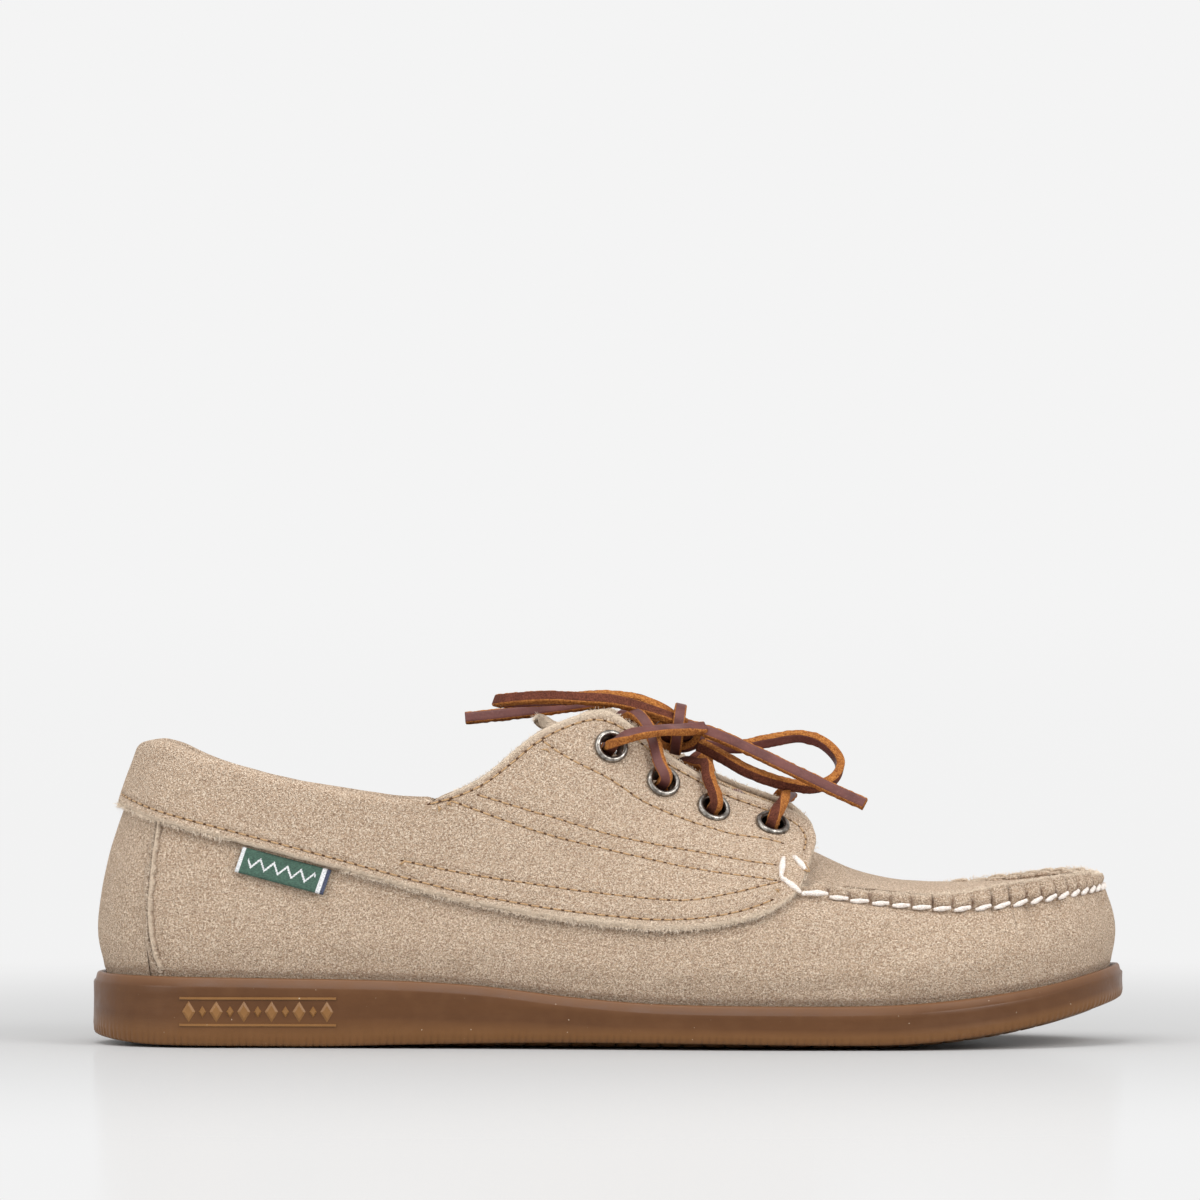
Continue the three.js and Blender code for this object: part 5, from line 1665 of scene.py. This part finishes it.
def tongue_face(x, share):
    """Points of the tongue's upper face; share runs from -1, its lateral edge, to 1."""
    y = share * tongue_half(x)
    free = smooth(-6, -20, x)
    curl = smooth(-7, -20, x) * smooth(-0.2, -0.95, share)
    rise = 2.6 * curl * (1 - 0.6 * smooth(-0.7, -1, share)) + 0.5 * np.sin(y / 4.2 + 0.6) * free
    frayed = 0.4 * np.sin(y / 3.1) * smooth(-16, -21, x)
    base = np.stack([np.broadcast_to(x, y.shape) + 0.8 * curl + frayed, y + spine_y(x) + 1.2 * curl,
                     tongue_crown(x) - tongue_bow(x) * y ** 2 + rise], -1)
    base[..., 2] += uneven(base, 1.0)
    return base


def tongue():
    """Suede with eased edges, thicker where its corner curls up."""
    x = stepped([TONGUE_END_X, TONGUE_ROOT_X], [0.7])
    share = np.linspace(-1, 1, 64)[:, None]
    base = tongue_face(x, share)
    edge = np.minimum(smooth(1.0, 0.965, np.abs(share)), smooth(TONGUE_END_X, TONGUE_END_X + 0.9, x))
    corner = smooth(-9, -18, x) * smooth(-0.6, -0.95, share)
    half = TONGUE_THICK / 2 * (0.3 + 0.7 * edge + 1.2 * corner)
    lift = np.array((0, 0, 1.0)) * half[..., None]
    centre = base - np.array((0, 0, TONGUE_THICK / 2))
    raw = np.maximum(smooth(0.9, 1, np.abs(share)), smooth(-17, -21, x)) * 0.9
    # the tongue's last stretch is also painted pale across its width: painted light on its corner,
    # which lies in shade under the bow
    raw = np.maximum(raw, 0.7 * smooth(-8, -19, x))
    shell("tongue", centre + lift, centre - lift, suede, body="tongue", slot="suede",
          nodes=["tongue"], marks={"raw": (raw, np.maximum(raw, 0.5)), "shade": (0, 0)})


tongue()


# ---- Side label ----------------------------------------------------------------------------------
LABEL_FROM_X = -103.9
LABEL_TO_X = -78.7
LABEL_DROP = 7.2
LABEL_LONG = 25.6
LABEL_COLUMNS = 120
LABEL_ROWS = 36
ZIGZAG_LONG = 3.9
ZIGZAG_HALF_HIGH = 1.35
ZIGZAG_HALF_LINE = 0.42


def side_label():
    """Folded woven tape: green ground, white ends, a dark selvedge and a woven zigzag."""
    columns, rows = LABEL_COLUMNS, LABEL_ROWS
    across = np.linspace(0, 1, columns + 1)[:, None]
    down = np.linspace(0, 1, rows + 1)[None, :]
    x = mix(LABEL_FROM_X, LABEL_TO_X, across) - 2.4 * down
    z = quarter_edge(mix(LABEL_FROM_X, LABEL_TO_X, across)) - 0.4 - LABEL_DROP * down
    flare = 0.35 + 0.9 * down ** 2 + 0.12 * np.sin(across * 9)
    rib = 0.035 * np.cos(down * rows * np.pi)
    thick = np.sqrt(np.clip(1 - ((down - 0.5) / 0.5) ** 8, 0, 1)) * 0.75 + 0.12
    grids = []
    for out in (flare + thick + rib, flare + np.zeros_like(across)):
        place = on_side(LATERAL, x.ravel(), z.ravel(), (out + np.zeros_like(x)).ravel())[0]
        grids.append(place.reshape(columns + 1, rows + 1, 3))
    u = (np.arange(columns) + 0.5)[:, None] / columns * LABEL_LONG
    v = (np.arange(rows) + 0.5)[None, :] / rows * LABEL_DROP - LABEL_DROP / 2
    wave = 4 * np.abs((u / ZIGZAG_LONG) % 1 - 0.5) - 1
    zigzag = np.abs(v - ZIGZAG_HALF_HIGH * wave) < ZIGZAG_HALF_LINE
    white = zigzag & (u > 2.6) & (u < 22.0) | (u < 1.15) | ((u > 23.2) & (u < 24.5))
    kinds = np.where(u >= 24.5, 2, np.where(white, 1, 0))
    front = grid_faces(columns + 1, rows + 1)
    back = front[:, ::-1] + grids[0].reshape(-1, 3).shape[0]
    index = np.arange((columns + 1) * (rows + 1)).reshape(columns + 1, rows + 1)
    rim = np.r_[index[:, 0], index[-1, 1:], index[-2::-1, -1], index[0, -2:0:-1]]
    edge = strip(rim, rim + index.size, loop=True)
    faces = np.concatenate([front, back, edge])
    all_kinds = np.r_[kinds.ravel(), kinds.ravel(), np.zeros(len(edge), int)]
    add_piece("side_label", np.concatenate([g.reshape(-1, 3) for g in grids]), faces,
              [label_green, label_white, label_navy], body="label", slot="label_weave",
              nodes=["side_label"], face_kinds=all_kinds)


side_label()


# ---- Thread ends and upright heel seams ----------------------------------------------------------
def thread_ends():
    """Short tails and knots of thread where a row starts or stops."""
    rng = np.random.default_rng(31)
    spots = [(-45.4, 68.6), (-48.2, 67.4), (-58.4, 51.9), (-18.2, 83.6), (48.2, 43.2), (55.4, 49.8),
             (55.9, 48.2)]
    for side, label in SIDES:
        centres, ways, scales = [], [], []
        for x, z in spots:
            place, facing = on_side(side, [x], [z], np.array([QUARTER_OUT + 0.3]))
            for _ in range(3):
                centres.append(place[0] + rng.normal(0, 0.3, 3) * (1, 0.3, 1))
                ways.append(unit(rng.normal(0, 1, 3) * (1, 0.3, 1) + facing[0] * 0.3))
                scales.append((rng.uniform(0.6, 1.1), 0.2, 0.2))
        template, faces = capsule(7, 6, arch=0.8)
        points, all_faces = copies(template, faces, np.array(centres), np.array(ways),
                                   np.tile((0.3, 0.2, 0.9), (len(ways), 1)), np.array(scales))
        add_piece("thread_ends_" + label, points, all_faces, tan_thread, slot="seam_thread")


thread_ends()


def heel_seams():
    """Two cut edges side by side, stitched down the heel on each side."""
    for side, label in SIDES:
        line = centripetal([(-128.2, 0, 63.8), (-129.6, 0, 55), (-130.5, 0, 46.6), (-131, 0, 38.6),
                            (-130.4, 0, 30.6), (-128.6, 0, 23.6), (-126.6, 0, 20.2)], 0.4)
        path, normal = on_side(side, line[:, 0], line[:, 2])
        along = unit(np.gradient(path, axis=0))
        across = unit(np.cross(along, normal))
        turn = np.linspace(-1, 1, 29)
        lobes = np.abs(np.sin(np.pi * turn)) ** 0.55 * np.where(turn < 0, 1.0, 0.8)
        sink = smooth(0, 3, lengths(path)[-1] - lengths(path))[:, None]
        fray = 1 + (0.13 * waves(31, 2.8)(path) + 0.09 * waves(32, 1.0)(path))[:, None] * np.abs(turn)
        height = (1.25 * lobes - 0.5 * (np.abs(turn) > 0.999)) * sink - 0.35 * (1 - sink)
        grid = swept(path, across, normal, turn * 1.9 * fray, height)
        under = swept(path, across, normal, turn * 1.8, np.full_like(turn, -0.9))
        raw = np.where(turn < 0, 0.75, 0.35) * np.clip(lobes, 0, 1)
        # painted shade in the groove between the two edges and along their outer sides, a little more
        # over the second edge
        shade = 0.45 * (1 - np.clip(lobes, 0, 1)) + 0.1 * (turn > 0)
        shell("heel_seam_" + label, grid.transpose(1, 0, 2), under.transpose(1, 0, 2), suede,
              slot="suede", marks={"raw": (raw[:, None], 0), "shade": (shade[:, None], 0)})


heel_seams()


# ---- Loose fibres on the cut edges ---------------------------------------------------------------
def fibres(name, groups, body="shoe"):
    """Short tapered suede fibres; groups hold (points, directions, count, length, seed)."""
    points, faces, start = [], [], 0
    corners = np.stack([np.cos(np.arange(3) * 2.094), np.sin(np.arange(3) * 2.094)], 1)
    for roots, ways, count, size, seed in groups:
        rng = np.random.default_rng(seed)
        pick = rng.integers(0, len(roots), count)
        root = roots[pick] + rng.normal(0, 0.25, (count, 3))
        way = unit(ways[pick] + rng.normal(0, 0.55, (count, 3)))
        bend = rng.normal(0, 0.45, (count, 3))
        size = size * rng.uniform(0.4, 1.3, count)[:, None]
        side = unit(np.cross(way, (0.31, 0.77, 0.55)))
        other = np.cross(way, side)
        for share, thick in ((-0.2, 0.07), (0.5, 0.055), (1.0, 0.02)):
            spine = root + (way + bend * share * share) * size * share
            ring = corners[:, 0, None, None] * side + corners[:, 1, None, None] * other
            points.append((spine[None] + ring * thick).transpose(1, 0, 2).reshape(-1, 3))
        hair = start + np.arange(count)[:, None] * 3
        for level in range(2):
            low, high = hair + level * count * 3, hair + (level + 1) * count * 3
            for k, n in ((0, 1), (1, 2), (2, 0)):
                faces += [np.hstack([low + k, low + n, high + n]),
                          np.hstack([low + k, high + n, high + k])]
        faces += [hair + np.array((2, 1, 0)), hair + 2 * count * 3 + np.array((0, 1, 2))]
        start += 3 * count * 3
    add_piece(name, np.concatenate(points), np.concatenate(faces), fibre_suede, body=body,
              slot="suede", marks={"raw": np.full(start, 0.8)})


def edge_fibres():
    """Fuzz on the cut edges; none where the label would pass through it as it lifts."""
    groups = []
    for n, (side, _) in enumerate(SIDES):
        wall = Wall(side, stepped([1, float(run_at(58.8))], [0.3]))
        low = wall.meet(quarter_edge)
        place, facing = surface(side, wall.run, low + 0.1, np.full_like(low, QUARTER_OUT - 0.5))
        if side == LATERAL:
            clear = (wall.x < LABEL_FROM_X - 4) | (wall.x > LABEL_TO_X + 2)
            place, facing = place[clear], facing[clear]
        groups.append((place, facing * 0.7 - np.array((0, 0, 0.9)), 2200, 0.8, 100 + n))
        wall = Wall(side, stepped([float(run_at(-44)), float(run_at(57))], [0.3]))
        high = wall.meet(lambda x: top_edge(x) + facing_lift(side, x))
        place, facing = surface(side, wall.run, high - 0.3,
                                np.full_like(high, (QUARTER_IN + QUARTER_OUT) / 2))
        groups.append((place, facing * 0.3 + np.array((0, 0, 0.9)), 900, 0.5, 110 + n))
        wall = Wall(side, stepped([float(run_at(60)), WHOLE_RUN], [0.3]), ridge=True)
        crest = wall.meet(ridge_top) - 0.2
        groups.append((wall.point(crest, np.full_like(crest, -0.8)),
                       np.tile((0.0, 0, 1), (len(crest), 1)), 1000, 0.45, 120 + n))
        line = centripetal([(-128.2, 0, 63.0), (-130.5, 0, 46.6), (-130.4, 0, 30.6), (-127, 0, 21)],
                           0.4)
        place, facing = on_side(side, line[:, 0], line[:, 2], np.full(len(line), 0.9))
        groups.append((place, facing, 350, 0.8, 130 + n))
    fibres("edge_fibres", groups)
    end = tongue_face(np.full(160, TONGUE_END_X + 0.5), np.linspace(-0.97, 0.97, 160)) - (0, 0, 0.5)
    fibres("tongue_fibres", [(end, np.tile((-0.5, 0, 0.7), (len(end), 1)), 420, 0.8, 140)],
           body="tongue")


edge_fibres()


# ---- Stage ---------------------------------------------------------------------------------------
BACKDROP = (0.905, 0.905, 0.905, 1)
ROOM_LIGHT = 0.95
FLOOR_REACH = 40
FLOOR_DROP = 0.0005
LIGHTS = (("key", (-0.25, -0.55, 1.25), (0, 0, 0.05), 0.9, 6.6),
          ("side", (-1.1, -0.8, 0.6), (-0.08, 0, 0.05), 0.7, 5),
          ("fill", (0.9, -0.9, 0.75), (0.05, 0, 0.04), 0.8, 10.3))


def room():
    """A pale surround that lights the shoe a little less than it shows."""
    world = bpy.data.worlds.new("studio")
    bpy.context.scene.world = world
    world.use_nodes = True
    tree = world.node_tree
    background = tree.nodes["Background"]
    background.inputs["Color"].default_value = BACKDROP
    seen = add_node(tree, "ShaderNodeLightPath").outputs["Is Camera Ray"]
    strength = add_node(tree, "ShaderNodeMapRange", Value=seen, To_Min=ROOM_LIGHT, To_Max=1.0)
    tree.links.new(strength.outputs[0], background.inputs["Strength"])
    bpy.context.scene.view_settings.view_transform = "Standard"


def floor_material():
    """Matt and faintly shiny under the shoe, melting into the backdrop further out."""
    material = bpy.data.materials.new("floor")
    material.use_nodes = True
    tree = material.node_tree
    tree.nodes.clear()
    matt = add_node(tree, "ShaderNodeBsdfDiffuse", Color=(0.5, 0.5, 0.5, 1)).outputs[0]
    gloss = add_node(tree, "ShaderNodeBsdfGlossy", Color=(0.9, 0.9, 0.9, 1),
                     Roughness=0.14).outputs[0]
    glow = add_node(tree, "ShaderNodeEmission", Color=BACKDROP).outputs[0]
    place = add_node(tree, "ShaderNodeTexCoord").outputs["Object"]
    away = add_node(tree, "ShaderNodeVectorMath", {"operation": "LENGTH"}, i0=place).outputs["Value"]

    def by_distance(near, far, near_value, far_value):
        return add_node(tree, "ShaderNodeMapRange", {"interpolation_type": "SMOOTHSTEP"}, Value=away,
                        From_Min=near, From_Max=far, To_Min=near_value, To_Max=far_value).outputs[0]

    def mixed(factor, first, second):
        return add_node(tree, "ShaderNodeMixShader", i0=factor, i1=first, i2=second).outputs[0]

    body = mixed(by_distance(0.12, 0.6, 0, 1), matt, glow)
    output = add_node(tree, "ShaderNodeOutputMaterial")
    tree.links.new(mixed(by_distance(1.5, 6, 0.11, 0), body, gloss), output.inputs[0])
    return material


def stage():
    """The floor and three wide soft lights."""
    mesh = bpy.data.meshes.new("floor")
    far = FLOOR_REACH
    corners = [(-far, -far, 0), (far, -far, 0), (far, far, 0), (-far, far, 0)]
    mesh.from_pydata(corners, [], [(0, 1, 2, 3)])
    floor = bpy.data.objects.new("floor", mesh)
    floor.location.z = -FLOOR_DROP
    bpy.context.collection.objects.link(floor)
    mesh.materials.append(floor_material())
    for name, place, aim, size, power in LIGHTS:
        data = bpy.data.lights.new(name, "AREA")
        data.shape = "DISK"
        data.size = size
        data.energy = power
        light = bpy.data.objects.new(name, data)
        light.location = place
        light.rotation_euler = (Vector(place) - Vector(aim)).to_track_quat("Z", "Y").to_euler()
        bpy.context.collection.objects.link(light)


room()
stage()
